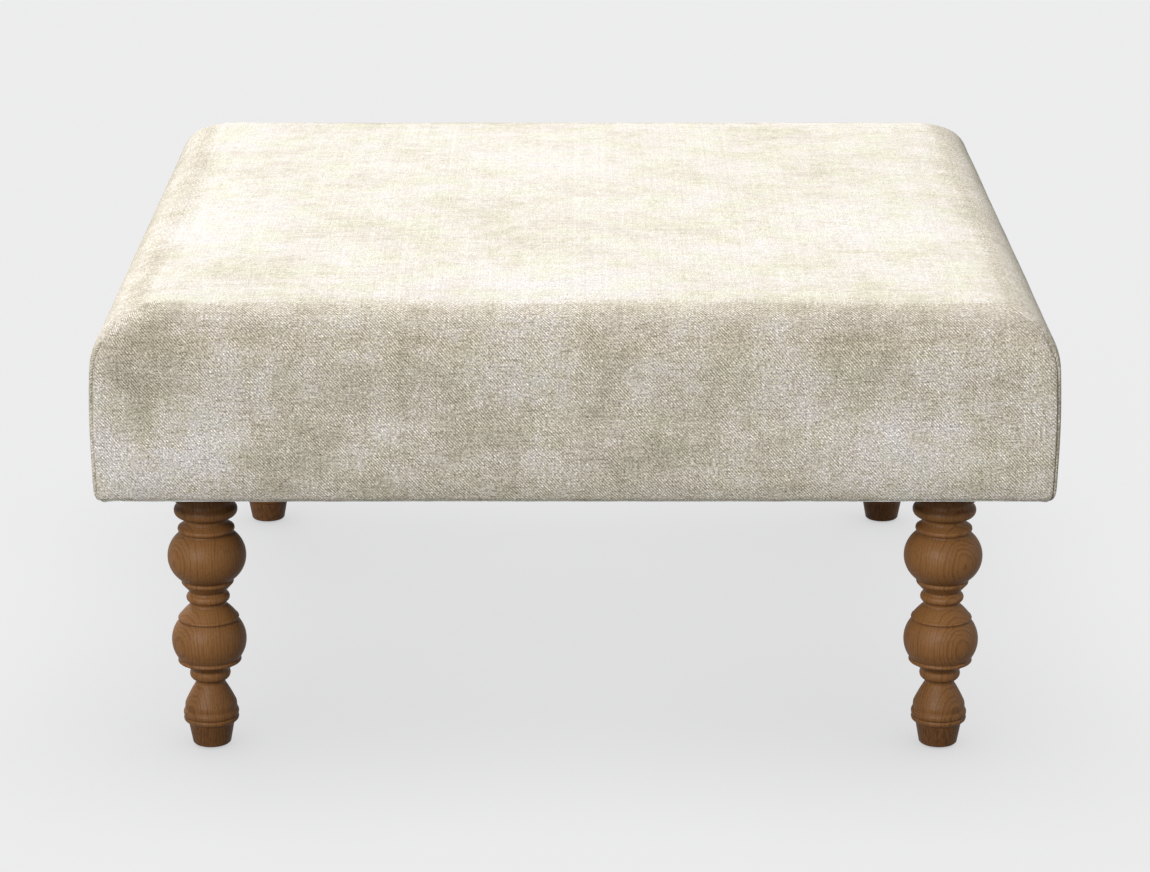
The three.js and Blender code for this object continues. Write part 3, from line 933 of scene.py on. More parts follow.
@dataclass(frozen=True)
class CellFoam(Finish):
    """Cream open-cell upholstery foam, yellowed towards its skin.

    Attributes:
        skin, pore: The colours of the cell walls and of the painted shade in the open cells.
        cell: The size of a cell.
    """

    skin: Colour = shade(236, 226, 190)
    pore: Colour = shade(196, 180, 132)
    cell: float = 1.6 * MM

    def material(self) -> bpy.types.Material:
        """Builds the material of the foam.

        Returns:
            The material.
        """
        material, bench, shader, place = self.start(
            "upholstery_foam", Coordinates.PLACE, Roughness=0.95, Specular_IOR_Level=0.1
        )
        walls = bench.add("TexVoronoi", {"Vector": place, "Scale": 1 / self.cell}, feature="F1")
        hollow = bench.spread(walls.outputs["Distance"], 0.55, 0.15)
        dye = self.group(bench, "mottling", Place=place, Cloud_Size=0.3)
        # Painted shade in the open cells.
        colour = bench.blend(bench.times(hollow, 0.6), self.skin, self.pore)
        colour = bench.tint(colour, bench.spread(dye["Clouds"], 0.45, 0.7), (0.95, 0.92, 0.82))
        bench.fill(shader, Base_Color=colour, Normal=bench.bump(walls.outputs["Distance"], 0.6 * MM, 0.8))
        return material


@dataclass(frozen=True)
class ZincSteel(Finish):
    """Bright zinc plating with the fine lines and the faint cloudiness of pressed steel.

    Attributes:
        bright, dull: The colours of clean and of clouded plating.
    """

    bright: Colour = shade(214, 216, 218)
    dull: Colour = shade(172, 172, 166)

    def material(self, name: str) -> bpy.types.Material:
        """Builds the material of the fittings, under a name.

        Args:
            name: The material's name.

        Returns:
            The material.
        """
        material, bench, shader, place = self.start(name, Coordinates.PLACE, Metallic=1.0)
        dye = self.group(bench, "mottling", Place=place, Cloud_Size=0.012)
        lines = bench.noise(bench.stretch(place, (3000.0, 160.0, 900.0)), 1.0, 2.0)
        colour = bench.blend(bench.spread(dye["Clouds"], 0.35, 0.7), self.bright, self.dull)
        rough = bench.scaled(lines, 0.2, bench.scaled(dye["Clouds"], 0.25, 0.16))
        bench.fill(shader, Base_Color=colour, Roughness=rough, Normal=bench.bump(lines, 0.02 * MM, 0.5))
        return material


@dataclass(frozen=True)
class MouldedNylon(Finish):
    """Brown moulded nylon, scuffed under the foot.

    Attributes:
        clean, scuffed: The colours of the moulding and of its scuffs.
    """

    clean: Colour = shade(104, 82, 62)
    scuffed: Colour = shade(142, 124, 106)

    def material(self) -> bpy.types.Material:
        """Builds the material of the glides.

        Returns:
            The material.
        """
        material, bench, shader, place = self.start("glide_nylon", Coordinates.PLACE)
        dye = self.group(bench, "mottling", Place=place, Cloud_Size=0.006)
        scuffs = bench.spread(dye["Streaks"], 0.5, 0.66)
        bench.fill(
            shader,
            Base_Color=bench.blend(scuffs, self.clean, self.scuffed),
            Roughness=bench.scaled(scuffs, 0.3, 0.38),
            Normal=bench.bump(dye["Streaks"], 0.1 * MM, 0.5),
        )
        return material


# The pad


@dataclass(frozen=True)
class PadForm:
    """The outer form of one layer of the pad, from the rim of its flat top down to its bottom edge.

    Attributes:
        half: From the middle to the side.
        bottom, top: The heights of the bottom edge and of the flat top's rim.
        edge_radius: The round of the top edge.
        corner_radius, top_corner_radius: The corners seen from above, on the wall and on the top.
        crown: How much higher the middle of the top is.
        swell: How far the sides bow outwards.
        hem_radius, hem_width: The round of the bottom edge, and how far the cloth is turned under.
    """

    half: float
    bottom: float
    top: float
    edge_radius: float
    corner_radius: float
    top_corner_radius: float
    crown: float
    swell: float
    hem_radius: float = 0.0
    hem_width: float = 0.0

    def inside(self, depth: float, bottom: float) -> "PadForm":
        """The form of a layer that lies a depth inside this one, with no hem.

        Args:
            depth: How far inside it lies.
            bottom: The height of its bottom edge.

        Returns:
            The layer's form.
        """
        return PadForm(
            self.half - depth, bottom, self.top - depth, self.edge_radius - depth,
            self.corner_radius - min(depth, 0.85 * self.corner_radius),
            self.top_corner_radius - depth, self.crown, self.swell,
        )


@dataclass(frozen=True)
class PadNet:
    """How finely a layer is netted.

    Attributes:
        side, corner: Cells along a side, and over each half of a corner.
        edge, wall, hem, under: Cells down the round edge, the side, the hem's round and its turn-in.
    """

    side: int
    corner: int
    edge: int
    wall: int
    hem: int = 0
    under: int = 0

    @property
    def count(self) -> int:
        """Cells along one side with its corners."""
        return self.side + 2 * self.corner

    def levels(self, form: PadForm) -> list[tuple[float, float, float]]:
        """The inset, height and corner radius of each ring, from the rim down.

        Args:
            form: The form that is netted.

        Returns:
            One row a ring.
        """
        rings = []
        for step in range(self.edge + 1):
            angle = math.pi / 2 * (1 - step / self.edge)
            inset = form.edge_radius * (1 - math.cos(angle))
            height = form.top - form.edge_radius * (1 - math.sin(angle))
            growth = (form.top_corner_radius - form.corner_radius) * math.sin(angle)
            rings.append((inset, height, form.corner_radius + growth))
        low = form.bottom + form.hem_radius
        high = form.top - form.edge_radius
        for step in range(1, self.wall + 1):
            share = 1 - step / self.wall
            bow = form.swell * math.sin(math.pi * share)
            rings.append((-bow, low + (high - low) * share, form.corner_radius))
        least = 0.3 * form.corner_radius
        for step in range(1, self.hem + 1):
            angle = math.pi / 2 * step / self.hem
            inset = form.hem_radius * (1 - math.cos(angle))
            height = form.bottom + form.hem_radius * (1 - math.sin(angle))
            rings.append((inset, height, max(form.corner_radius - inset, least)))
        for step in range(1, self.under + 1):
            inset = form.hem_radius + (form.hem_width - form.hem_radius) * step / self.under
            rings.append((inset, form.bottom, least))
        return rings

    def side_line(self, half: float, radius: float) -> np.ndarray:
        """Places along a side and out from the middle, from one corner's diagonal to the next.

        Args:
            half: From the middle to the side.
            radius: The radius of the corners.

        Returns:
            One row a point.
        """
        turns = np.linspace(math.pi / 4, 0, self.corner + 1)
        straight = np.linspace(-(half - radius), half - radius, self.side + 1)
        start = np.stack([radius - half - radius * np.sin(turns), half - radius + radius * np.cos(turns)], 1)
        middle = np.stack([straight[1:-1], np.full(self.side - 1, half)], 1)
        end = start[::-1] * (-1, 1)
        return np.concatenate([start, middle, end])

    def build(self, name: str, form: PadForm, closed: bool) -> Piece:
        """Nets a form: a grid is extruded ring by ring, and each point is put on the form.

        Args:
            name: The piece's name.
            form: The form to take.
            closed: Whether the bottom is filled in.

        Returns:
            The piece, with the unfolded cloth as its UV map.
        """
        n = self.count
        rings = self.levels(form)
        bpy.ops.object.select_all(action="DESELECT")
        bpy.ops.mesh.primitive_grid_add(x_subdivisions=n, y_subdivisions=n, size=n)
        piece = added(name)
        with editing(piece) as mesh:
            pick(piece, mesh, "edges", lambda edge: edge.is_boundary)
            for _ in rings[1:]:
                bpy.ops.mesh.extrude_edges_move(TRANSFORM_OT_translate={"value": (0, 0, -1)})
            if closed:
                bpy.ops.mesh.edge_face_add()
        steps = np.rint(points_of(piece) + (n / 2, n / 2, 0)).astype(int)
        self.lay(piece, form, rings, steps)
        return piece

    def lay(self, piece: Piece, form: PadForm, rings: list, steps: np.ndarray) -> None:
        """Puts a net's points on the form, and writes where each lies in the unfolded cloth.

        Args:
            piece: The net, on whole steps.
            form: The form.
            rings: Its levels.
            steps: The column, row and level of each point.
        """
        n = self.count
        column, row, level = steps[:, 0], steps[:, 1], -steps[:, 2]
        lines = [self.side_line(form.half - inset, radius) for inset, _, radius in rings]
        rim = lines[0][:, 0]
        places = np.zeros((len(steps), 3))
        border = lines[0]
        share = (rim - rim[0]) / (rim[-1] - rim[0])
        # The flat top: its border is the rim, and the inside follows the border from all four sides.
        out = border[:, 1]
        side_x, side_y = rim[column], rim[row]
        ease_x, ease_y = 2 * share[column] - 1, 2 * share[row] - 1
        places[:, 0] = side_x + ease_x * (out[row] - out[0])
        places[:, 1] = side_y + ease_y * (out[column] - out[0])
        half_top = form.half - form.edge_radius
        fall = (1 - (places[:, 0] / half_top) ** 2) * (1 - (places[:, 1] / half_top) ** 2)
        places[:, 2] = form.top + form.crown * np.clip(fall, 0, 1)
        # The sides: which of the four a point is on, how far along it and how far out.
        sides = ((row == 0), (column == n), (row == n), (column == 0))
        along = (column, row, n - column, n - row)
        ways = ((1, 0), (0, 1), (-1, 0), (0, -1))
        stack = np.array(lines)
        heights = np.array([height for _, height, _ in rings])
        drops = np.hypot(np.diff([r[0] for r in rings]), np.diff(heights))
        down = half_top + np.concatenate([[0.0], np.cumsum(drops)])
        runs = np.hypot(*np.moveaxis(np.diff(stack, axis=1), 2, 0))
        lengths = np.concatenate([np.zeros((len(rings), 1)), np.cumsum(runs, axis=1)], axis=1)
        lengths -= lengths[:, -1:] / 2
        flat = []
        for on_side, index, way in zip(sides, along, ways):
            way = np.array(way)
            outward = np.array((way[1], -way[0]))
            index = np.clip(index, 0, n)
            line = stack[level, index]
            moved = line[:, :1] * way + line[:, 1:] * outward
            here = on_side & (level > 0)
            places[here, :2] = moved[here]
            places[here, 2] = heights[level[here]]
            flat.append(lengths[level, index][:, None] * way + down[level][:, None] * outward)
        move_points(piece, places)
        uv = piece.data.uv_layers[0].data if piece.data.uv_layers else piece.data.uv_layers.new().data
        for face in piece.data.polygons:
            corners = list(face.vertices)
            on_top = all(level[corners] == 0) or len(corners) > 4
            which = 0 if on_top else next(k for k in range(4) if all(sides[k][corners]))
            for loop, point in zip(face.loop_indices, corners):
                uv[loop].uv = places[point, :2] if on_top else flat[which][point]


@dataclass(frozen=True)
class WornPatch:
    """A patch of the cloth that is paler or darker, on the unfolded cloth from its middle.

    Attributes:
        x, y: Its middle.
        wide, long: Half its width and length.
        strength: How pale it is, or how dark if below zero.
    """

    x: float
    y: float
    wide: float
    long: float
    strength: float


WORN_PATCHES = tuple(WornPatch(*row) for row in (
    (-0.027, 0.165, 0.085, 0.070, 0.90), (-0.028, -0.345, 0.090, 0.065, 0.95),
    (-0.365, -0.085, 0.070, 0.095, 0.80), (0.313, -0.120, 0.075, 0.070, 0.85),
    (0.163, -0.215, 0.035, 0.050, 0.45), (-0.150, -0.330, 0.060, 0.040, 0.30),
    (-0.080, -0.090, 0.030, 0.075, -0.60), (-0.195, -0.150, 0.060, 0.035, -0.50),
    (0.267, 0.140, 0.035, 0.080, -0.60), (0.262, -0.380, 0.030, 0.060, -0.55),
    (-0.315, -0.295, 0.045, 0.045, -0.35), (0.110, -0.120, 0.040, 0.050, -0.30),
    (-0.335, -0.520, 0.030, 0.090, 0.55), (-0.425, -0.585, 0.045, 0.035, 0.65),
    (-0.345, -0.560, 0.050, 0.040, 0.55), (-0.214, -0.450, 0.045, 0.035, 0.40),
    (-0.050, -0.455, 0.055, 0.045, 0.45), (0.065, -0.455, 0.035, 0.060, 0.35),
    (0.195, -0.490, 0.060, 0.050, 0.40), (0.300, -0.560, 0.060, 0.045, 0.60),
    (0.355, -0.535, 0.050, 0.050, 0.60), (0.370, -0.450, 0.035, 0.050, 0.35),
    (-0.405, -0.475, 0.026, 0.050, -0.65), (-0.079, -0.550, 0.034, 0.050, -0.75),
    (-0.209, -0.580, 0.070, 0.024, -0.35), (0.014, -0.470, 0.018, 0.060, -0.45),
    (0.040, -0.560, 0.060, 0.024, -0.40), (0.264, -0.475, 0.030, 0.050, -0.55),
    (-0.283, -0.490, 0.014, 0.050, -0.35), (0.160, -0.440, 0.030, 0.020, -0.35),
    (-0.435, -0.530, 0.022, 0.070, 0.50), (0.435, -0.520, 0.022, 0.070, 0.50),
))


# Painted light by how far the cloth is below the rim of the top, in millimetres: 1 on the top, painted
# paler, warmer and with less grain as if lit, and below zero over the round edge, painted darker as shade.
PAINTED_TOP_LIGHT_AND_EDGE_SHADE = (
    (-1.3, 1), (-0.45, 0.6), (0, -0.05), (0.6, -0.5), (1.9, -0.6), (4.9, -0.35), (7.6, -0.15), (10.9, -0.3),
    (16.7, -0.35), (22.7, -0.75), (28, -0.65), (42, -0.25), (50, -0.1), (57, -0.1), (77, -0.1), (130, 0),
)


@dataclass
class Pad:
    """The cover, and the wadding and the foam block inside it.

    Attributes:
        half, pad_height: Half the width over the cover, and its height without the crown.
        edge_radius, hem_radius, hem_width: The cover's round top edge, its hem and its turn-in.
        corner_radius, top_corner_radius: Its upright corners, and the corners of its flat top.
        crown, swell: How far the top and the sides bulge once they are stuffed.
        slack: How far the cloth may be pushed out by the stuffing in the simulation.
        cloth: The thickness of the cloth.
        wadding, gap: The thickness of the wadding, and the space between layers.
        seam_depth, seam_width: The groove where two pieces of the cover are sewn together.
        lip, lip_reach: The ridge of turned-in cloth along each side of the groove.
        pucker, stitch_pitch: How much the ridge rises and falls, and over what length.
        dent: The depth of the shallow dents of the hand-tacked cloth.
        pressed: How much deeper the wadding lies than it would lie loose.
        inward: How far the cloth may be pulled inwards in the simulation.
        cloth_mass: What each point of the cloth weighs in the simulation, in kilograms.
        pressure, frames: How hard the stuffing presses, and how many steps it is given.
        waves: How far the edges of the worn patches stray, over what length, with the noise's two seeds
            and its octaves.
    """

    half: float = 0.450
    pad_height: float = 0.181
    edge_radius: float = 0.0525
    hem_radius: float = 0.009
    hem_width: float = 0.030
    corner_radius: float = 0.012
    top_corner_radius: float = 0.030
    crown: float = 0.0055
    swell: float = 0.0015
    slack: float = 2.5 * MM
    cloth: float = 1.6 * MM
    wadding: float = 7.5 * MM
    gap: float = 0.3 * MM
    seam_depth: float = 1.7 * MM
    seam_width: float = 1.1 * MM
    lip: float = 0.55 * MM
    lip_reach: float = 2.4 * MM
    pucker: float = 0.35
    stitch_pitch: float = 13 * MM
    dent: float = 0.5 * MM
    pressed: float = 1.0 * MM
    inward: float = 0.25 * MM
    cloth_mass: float = 0.4
    pressure: float = 4.0
    frames: int = 20
    waves: tuple[tuple, ...] = ((0.030, 0.075, (3.0, 17.0), 4), (0.014, 0.022, (11.0, 29.0), 2))
    cover_net: PadNet = PadNet(side=96, corner=4, edge=11, wall=14, hem=3, under=3)
    inner_net: PadNet = PadNet(side=48, corner=3, edge=8, wall=8)
    form: PadForm = field(init=False)

    def __post_init__(self) -> None:
        """Works out the cover's form from the height of its hem in the frame."""
        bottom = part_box("top_cover")[0].z
        self.form = PadForm(
            self.half, bottom, bottom + self.pad_height, self.edge_radius, self.corner_radius,
            self.top_corner_radius, self.crown, self.swell, self.hem_radius, self.hem_width,
        )

    def stuff(self, piece: Piece) -> None:
        """Inflates the cover as its stuffing does, held at the hem.

        Args:
            piece: The closed net of the cover.
        """
        rest = points_of(piece)
        facing = normals_of(piece)
        held = piece.vertex_groups.new(name="held")
        low = self.form.bottom + self.form.hem_radius + MM
        held.add([int(i) for i in np.flatnonzero(rest[:, 2] < low)], 1.0, "REPLACE")
        cloth = piece.modifiers.new("stuffing", "CLOTH")
        cloth.settings.quality = 4
        cloth.settings.mass = self.cloth_mass
        cloth.settings.use_pressure = True
        cloth.settings.uniform_pressure_force = self.pressure
        cloth.settings.vertex_group_mass = "held"
        cloth.settings.effector_weights.gravity = 0.0
        cloth.point_cache.frame_start = 1
        cloth.point_cache.frame_end = self.frames
        for step in range(1, self.frames + 1):
            bpy.context.scene.frame_set(step)
        bpy.context.view_layer.objects.active = piece
        bpy.ops.object.modifier_apply(modifier=cloth.name)
        bpy.context.scene.frame_set(1)
        move = points_of(piece) - rest
        reach = np.linalg.norm(move, axis=1, keepdims=True)
        share = self.slack * np.tanh(reach / self.slack) / np.maximum(reach, 1e-9)
        move *= share
        sunk = np.sum(move * facing, axis=1, keepdims=True)
        move_points(piece, rest + move + facing * np.maximum(-self.inward - sunk, 0))
        LOG.info("cover stuffed: moved up to %.1f mm", reach.max() / MM)

    def sew(self, piece: Piece) -> None:
        """Presses the corner seams into the cover, from the hem up and over the round edge, and marks where
        the painted seam shade goes.

        Args:
            piece: The cover's single skin.
        """
        places = points_of(piece)
        normals = normals_of(piece)
        off = (np.abs(places[:, 0]) - np.abs(places[:, 1])) / math.sqrt(2)
        arc_low = self.form.top - self.edge_radius
        rise = np.clip((places[:, 2] - arc_low) / self.edge_radius, 0, 1)
        corner = np.minimum(np.abs(places[:, 0]), np.abs(places[:, 1])) > self.half - 2.2 * self.edge_radius
        fade = np.clip((0.75 - rise) / 0.5, 0, 1) * corner
        fade = fade * fade * (3 - 2 * fade)
        groove = -self.seam_depth * np.exp(-((off / self.seam_width) ** 2))
        ridge = self.lip * np.exp(-(((np.abs(off) - self.lip_reach) / self.lip_reach) ** 2) * 2)
        ridge *= 1 + self.pucker * np.cos(places[:, 2] * math.tau / self.stitch_pitch)
        move_points(piece, places + normals * ((groove + ridge) * fade)[:, None])
        # Where the painted shade of the seam groove goes.
        mark(piece, "seam", fade * np.exp(-((off / (0.8 * MM)) ** 2)))

    def nap(self, piece: Piece) -> np.ndarray:
        """How worn the nap of the cloth is at each point of the cover.

        Args:
            piece: The cover.

        Returns:
            One value a point, below zero where the cloth is darker.
        """
        flat = np.zeros((len(piece.data.vertices), 3))
        uv = np.empty(len(piece.data.loops) * 2)
        piece.data.uv_layers[0].data.foreach_get("uv", uv)
        owner = np.empty(len(piece.data.loops), int)
        piece.data.loops.foreach_get("vertex_index", owner)
        flat[owner, :2] = uv.reshape(-1, 2)
        bent = flat.copy()
        for far, size, seeds, octaves in self.waves:
            for way, seed in enumerate(seeds):
                bent[:, way] += far * ripple(flat, size, seed, octaves)
        total = np.zeros(len(flat))
        for patch in WORN_PATCHES:
            reach = ((bent[:, 0] - patch.x) / patch.wide) ** 2 + ((bent[:, 1] - patch.y) / patch.long) ** 2
            total += patch.strength * np.exp(-(reach**1.3))
        away = np.clip((bent[:, 1] - 0.25) / 0.2, 0, 1) + np.clip((np.abs(bent[:, 0]) - 0.43) / 0.1, 0, 1)
        clouds = ripple(flat, 0.16, 8.0, 4) * 1.1
        return total + clouds * np.clip(away, 0.15, 1)

    def cover(self, finish: bpy.types.Material) -> None:
        """Builds the cover.

        Args:
            finish: Its material.
        """
        piece = self.cover_net.build("upholstery_cover", self.form, closed=True)
        self.stuff(piece)
        with editing(piece) as mesh:
            pick(piece, mesh, "faces", lambda face: len(face.verts) > 4)
            bpy.ops.mesh.delete(type="FACE")
        apply_modifier(piece, "SUBSURF", levels=1, render_levels=1)
        places = points_of(piece)
        loose = np.clip((places[:, 2] - self.form.bottom - self.hem_radius) / 0.03, 0, 1)
        dents = self.dent * ripple(places, 0.13, 5.0, 2) * loose
        move_points(piece, places + normals_of(piece) * dents[:, None])
        self.sew(piece)
        mark(piece, "nap", self.nap(piece))
        drop = (self.form.top - points_of(piece)[:, 2]) / MM
        # Painted light: paler and warmer on the top, and painted shade over the round edge.
        mark(piece, "brushed", np.interp(drop, *zip(*PAINTED_TOP_LIGHT_AND_EDGE_SHADE)))
        apply_modifier(piece, "SOLIDIFY", thickness=self.cloth, offset=-1.0, use_even_offset=True)
        smooth(piece, 60)
        finish_piece(piece, finish, "cover_cloth", "top_cover")

    def wadding_layer(self, finish: bpy.types.Material) -> None:
        """Builds the wadding, a thick layer over the foam and down the outside of the rails.

        Args:
            finish: Its material.
        """
        form = self.form.inside(self.cloth + 2 * self.gap + self.pressed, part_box("wadding")[0].z)
        piece = self.inner_net.build("wadding_layer", form, closed=False)
        apply_modifier(piece, "SUBSURF", levels=1, render_levels=1)
        places = points_of(piece)
        lumps = 0.5 * MM * (ripple(places, 0.035, 2.0, 3) - 0.8)
        move_points(piece, places + normals_of(piece) * lumps[:, None])
        thickness = self.wadding - self.pressed - 0.7 * MM
        apply_modifier(piece, "SOLIDIFY", thickness=thickness, offset=-1.0, use_even_offset=True)
        smooth(piece, 60)
        finish_piece(piece, finish, "wadding", "wadding")

    def foam(self, finish: bpy.types.Material) -> None:
        """Builds the foam block, rounded over by the wadding that is pulled down on it.

        Args:
            finish: Its material.
        """
        depth = self.cloth + self.wadding + 2 * self.gap + 0.5 * MM
        form = self.form.inside(depth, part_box("foam_block")[0].z)
        piece = self.inner_net.build("foam_core", form, closed=True)
        smooth(piece, 40)
        finish_piece(piece, finish, "foam", "foam_block")

    def build(self) -> None:
        """Builds and dresses the three layers of the pad."""
        self.cover(CoverCloth().material())
        wadding = FibreMat("polyester_wadding", shade(246, 246, 243), shade(214, 214, 208), 0.02, 0.6 * MM)
        self.wadding_layer(wadding.material())
        self.foam(CellFoam().material())


# The legs


def lathe(name: str, profile: list[tuple[float, float]], steps: int) -> Piece:
    """Turns a piece about the Z axis.

    Args:
        name: The piece's name.
        profile: Its radius and height from point to point, with both ends on the axis.
        steps: How many facets go round.

    Returns:
        The closed piece.
    """
    piece = drawn(name, profile)
    with editing(piece):
        bpy.ops.mesh.select_all(action="SELECT")
        bpy.ops.mesh.spin(steps=steps, angle=math.tau, center=(0, 0, 0), axis=(0, 0, 1))
    face_outwards(piece)
    return piece


@dataclass(frozen=True)
class Turning:
    """One feature that is turned on a leg.

    Attributes:
        radius: The radius that it ends at.
        rise: Its height.
        swell: How far its curve swells past a straight line.
    """

    radius: float
    rise: float
    swell: float = 0.0

    def curve(self, start: tuple[float, float], facet: float) -> list[tuple[float, float]]:
        """Points from the end of the feature below to the end of this one.

        Args:
            start: The radius and height that it starts from.
            facet: The length of a facet.

        Returns:
            The points after the start.
        """
        across, up = self.radius - start[0], self.rise
        chord = math.hypot(across, up)
        steps = max(1, round(chord / facet)) if self.swell else 1
        points = []
        for step in range(1, steps + 1):
            share = step / steps
            bulge = 4 * self.swell * share * (1 - share)
            if self.swell:
                bend = chord**2 / (8 * abs(self.swell)) + abs(self.swell) / 2
                half = math.asin(min(1.0, chord / (2 * bend)))
                angle = half * (2 * share - 1)
                bulge = math.copysign(bend * (math.cos(angle) - math.cos(half)), self.swell)
                share = 0.5 + bend * math.sin(angle) / chord
            radius = start[0] + across * share + bulge * up / chord
            points.append((radius, start[1] + up * share - bulge * across / chord))
        return points


# The radius, rise and swell of each feature in millimetres, from the foot up: the foot, the double collar,
# the cone, a bead, the lip and the smaller ball, the upper cone, a bead, the flare, the large ball, the
# ring, a bead, a cove and the disc under the frame.
LEG_TURNINGS = tuple(Turning(*(size * MM for size in sizes)) for sizes in (
    (18.5, 1.2, 0.3), (21.8, 17.8), (22.7, 3.8), (26.2, 5.7, 2.2), (25.0, 0.35), (26.2, 0.35),
    (25.0, 7.0, 1.3), (24.8, 6.0, 0.3), (14.3, 19.8, 0.4), (14.5, 3.4), (19.0, 9.4, 2.6),
    (19.0, 1.7, -0.3), (29.8, 7.7, -0.8), (30.6, 2.3, 0.5), (29.6, 1.5), (28.3, 38.9, 7.1), (28.1, 0.4),
    (29.5, 1.8, 0.3), (27.8, 2.3, 0.3), (17.9, 10.4, 0.4), (17.6, 3.6, -0.4), (18.5, 8.6, 3.0),
    (17.7, 2.2, -0.3), (23.7, 6.8), (25.3, 2.8, 0.4), (24.6, 2.2, -0.3), (26.2, 46.5, 12.4),
    (25.2, 1.7, -0.3), (26.9, 5.1, 1.3), (21.3, 4.6, -0.3), (20.8, 1.3), (21.5, 4.7, -0.3),
    (28.6, 11.0, 5.3), (27.4, 6.2, -0.9), (31.6, 0.7), (31.6, 22.2),
))


@dataclass
class TurnedLegs:
    """The four legs, turned alike, each with its own figure in the wood.

    Attributes:
        foot: The radius of the foot's tip.
        facet, segments: The length of a facet up a curve, and the facets round the leg.
        arris: How far a sharp turned edge is sanded over.
        nearly_straight: The cosine between the runs to a point's neighbours under which it is no edge.
        pin_radius, pin_depth: The hole for the glide's pin.
        bolt_radius, bolt_depth: The hole for the hanger bolt.
        reach, hollow: Over what height a groove is compared with its neighbours, and how much lower
            than they are the deepest stain lies.
        foot_stain, foot_height: How much stain the end grain of the foot took up, and up to where.
        painted_low_shade, low_height: How much painted shade darkens the leg towards the floor, and from
            where.
        under_stain: How much painted shade darkens the downward faces.
        top_stain, top_height: How dark the painted shadow of the cover makes the top of the leg, and from
            where.
        piths: Which way the pith of each leg lies, in degrees.
    """

    foot: float = 17.2 * MM
    facet: float = 1.6 * MM
    segments: int = 72
    arris: float = 0.35 * MM
    nearly_straight: float = -0.95
    pin_radius: float = 1.5 * MM
    pin_depth: float = 13.3 * MM
    bolt_radius: float = 4.3 * MM
    bolt_depth: float = 38.3 * MM
    reach: float = 2.4 * MM
    hollow: float = 1.5 * MM
    foot_stain: float = 0.95
    foot_height: float = 21 * MM
    painted_low_shade: float = 0.6
    low_height: float = 130 * MM
    under_stain: float = 0.32
    top_stain: float = 0.75
    top_height: float = 238 * MM
    piths: tuple[float, ...] = (-140.0, -60.0, 35.0, 110.0)

    def outline(self) -> list[tuple[float, float]]:
        """The leg's outside, from the foot's tip to the top."""
        points = [(self.foot, 0.0)]
        for turning in LEG_TURNINGS:
            points += turning.curve(points[-1], self.facet)
        return points

    def sanded(self, points: list[tuple[float, float]]) -> list[tuple[float, float]]:
        """Takes the sharpness off each corner of an outline.

        Args:
            points: Its radius and height from point to point.

        Returns:
            The outline with its edges sanded.
        """
        eased = [points[0]]
        for before, here, after in zip(points, points[1:], points[2:]):
            back, ahead = np.subtract(before, here), np.subtract(after, here)
            long_back, long_ahead = np.hypot(*back), np.hypot(*ahead)
            turn = np.dot(back, ahead) / (long_back * long_ahead)
            if turn < self.nearly_straight:
                eased.append(here)
                continue
            cut = min(self.arris, 0.4 * long_back, 0.4 * long_ahead)
            first = np.add(here, back * cut / long_back)
            last = np.add(here, ahead * cut / long_ahead)
            middle = (first + last) / 4 + np.array(here) / 2
            eased += [tuple(first), tuple(middle), tuple(last)]
        eased.append(points[-1])
        return eased

    def stain_and_shade(self, outline: list[tuple[float, float]], heights: np.ndarray) -> np.ndarray:
        """How dark the leg is at each height, from 0 to 1: stain in the grooves and on the foot, the painted
        shadow of the cover at the top and painted shade towards the floor.

        Args:
            outline: The leg's outside.
            heights: Where it is wanted.

        Returns:
            One value a height.
        """
        radii, levels = np.array(outline).T
        levels = np.maximum.accumulate(levels + np.arange(len(levels)) * 1e-9)
        offsets = np.linspace(-self.reach, self.reach, 15)
        around = [np.interp(heights + offset, levels, radii) for offset in offsets]
        here = np.interp(heights, levels, radii)
        groove = np.clip((np.mean(around, axis=0) - here) / self.hollow, 0, 1)
        foot = self.foot_stain * np.clip((self.foot_height - heights) / (2 * MM), 0, 1)
        # Painted shadow of the cover at the top, and painted shade towards the floor.
        top = self.top_stain * np.clip((heights - self.top_height) / (3 * MM), 0, 1)
        low = self.painted_low_shade * np.clip(1 - heights / self.low_height, 0, 1)
        return np.maximum.reduce([groove, foot, top, low])

    def build(self) -> None:
        """Turns one leg, and sets a copy of it at each corner."""
        outline = self.sanded(self.outline())
        length = outline[-1][1]
        profile = [(0.0, self.pin_depth), (self.pin_radius, self.pin_depth), (self.pin_radius, 0.0)]
        profile += outline
        profile += [(self.bolt_radius, length), (self.bolt_radius, length - self.bolt_depth)]
        profile += [(0.0, length - self.bolt_depth)]
        pattern = lathe("leg_pattern", profile, self.segments)
        places = points_of(pattern)
        outside = np.hypot(places[:, 0], places[:, 1]) > 2 * self.bolt_radius
        # Painted shade on the downward faces, added to the stain and the painted shade by height.
        under = self.under_stain * np.clip(-1.4 * normals_of(pattern)[:, 2], 0, 1)
        stain_and_shade = self.stain_and_shade(outline, places[:, 2])
        mark(pattern, "stain_and_shade", np.maximum(stain_and_shade, np.minimum(under + 0.5 * stain_and_shade, 1)) * outside)
        smooth(pattern, 50)
        for corner, pith in zip(Corner, self.piths):
            node = f"{corner.label}_leg"
            axis = axis_of(node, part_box(node)[0].z)
            leg = twin(pattern, f"{corner.label}_turned_leg", axis)
            wood = TurnedWood().material(f"{corner.label}_turned_wood", axis, math.radians(pith))
            finish_piece(leg, wood, "turned_wood", node)
        bpy.data.objects.remove(pattern)


# The frame


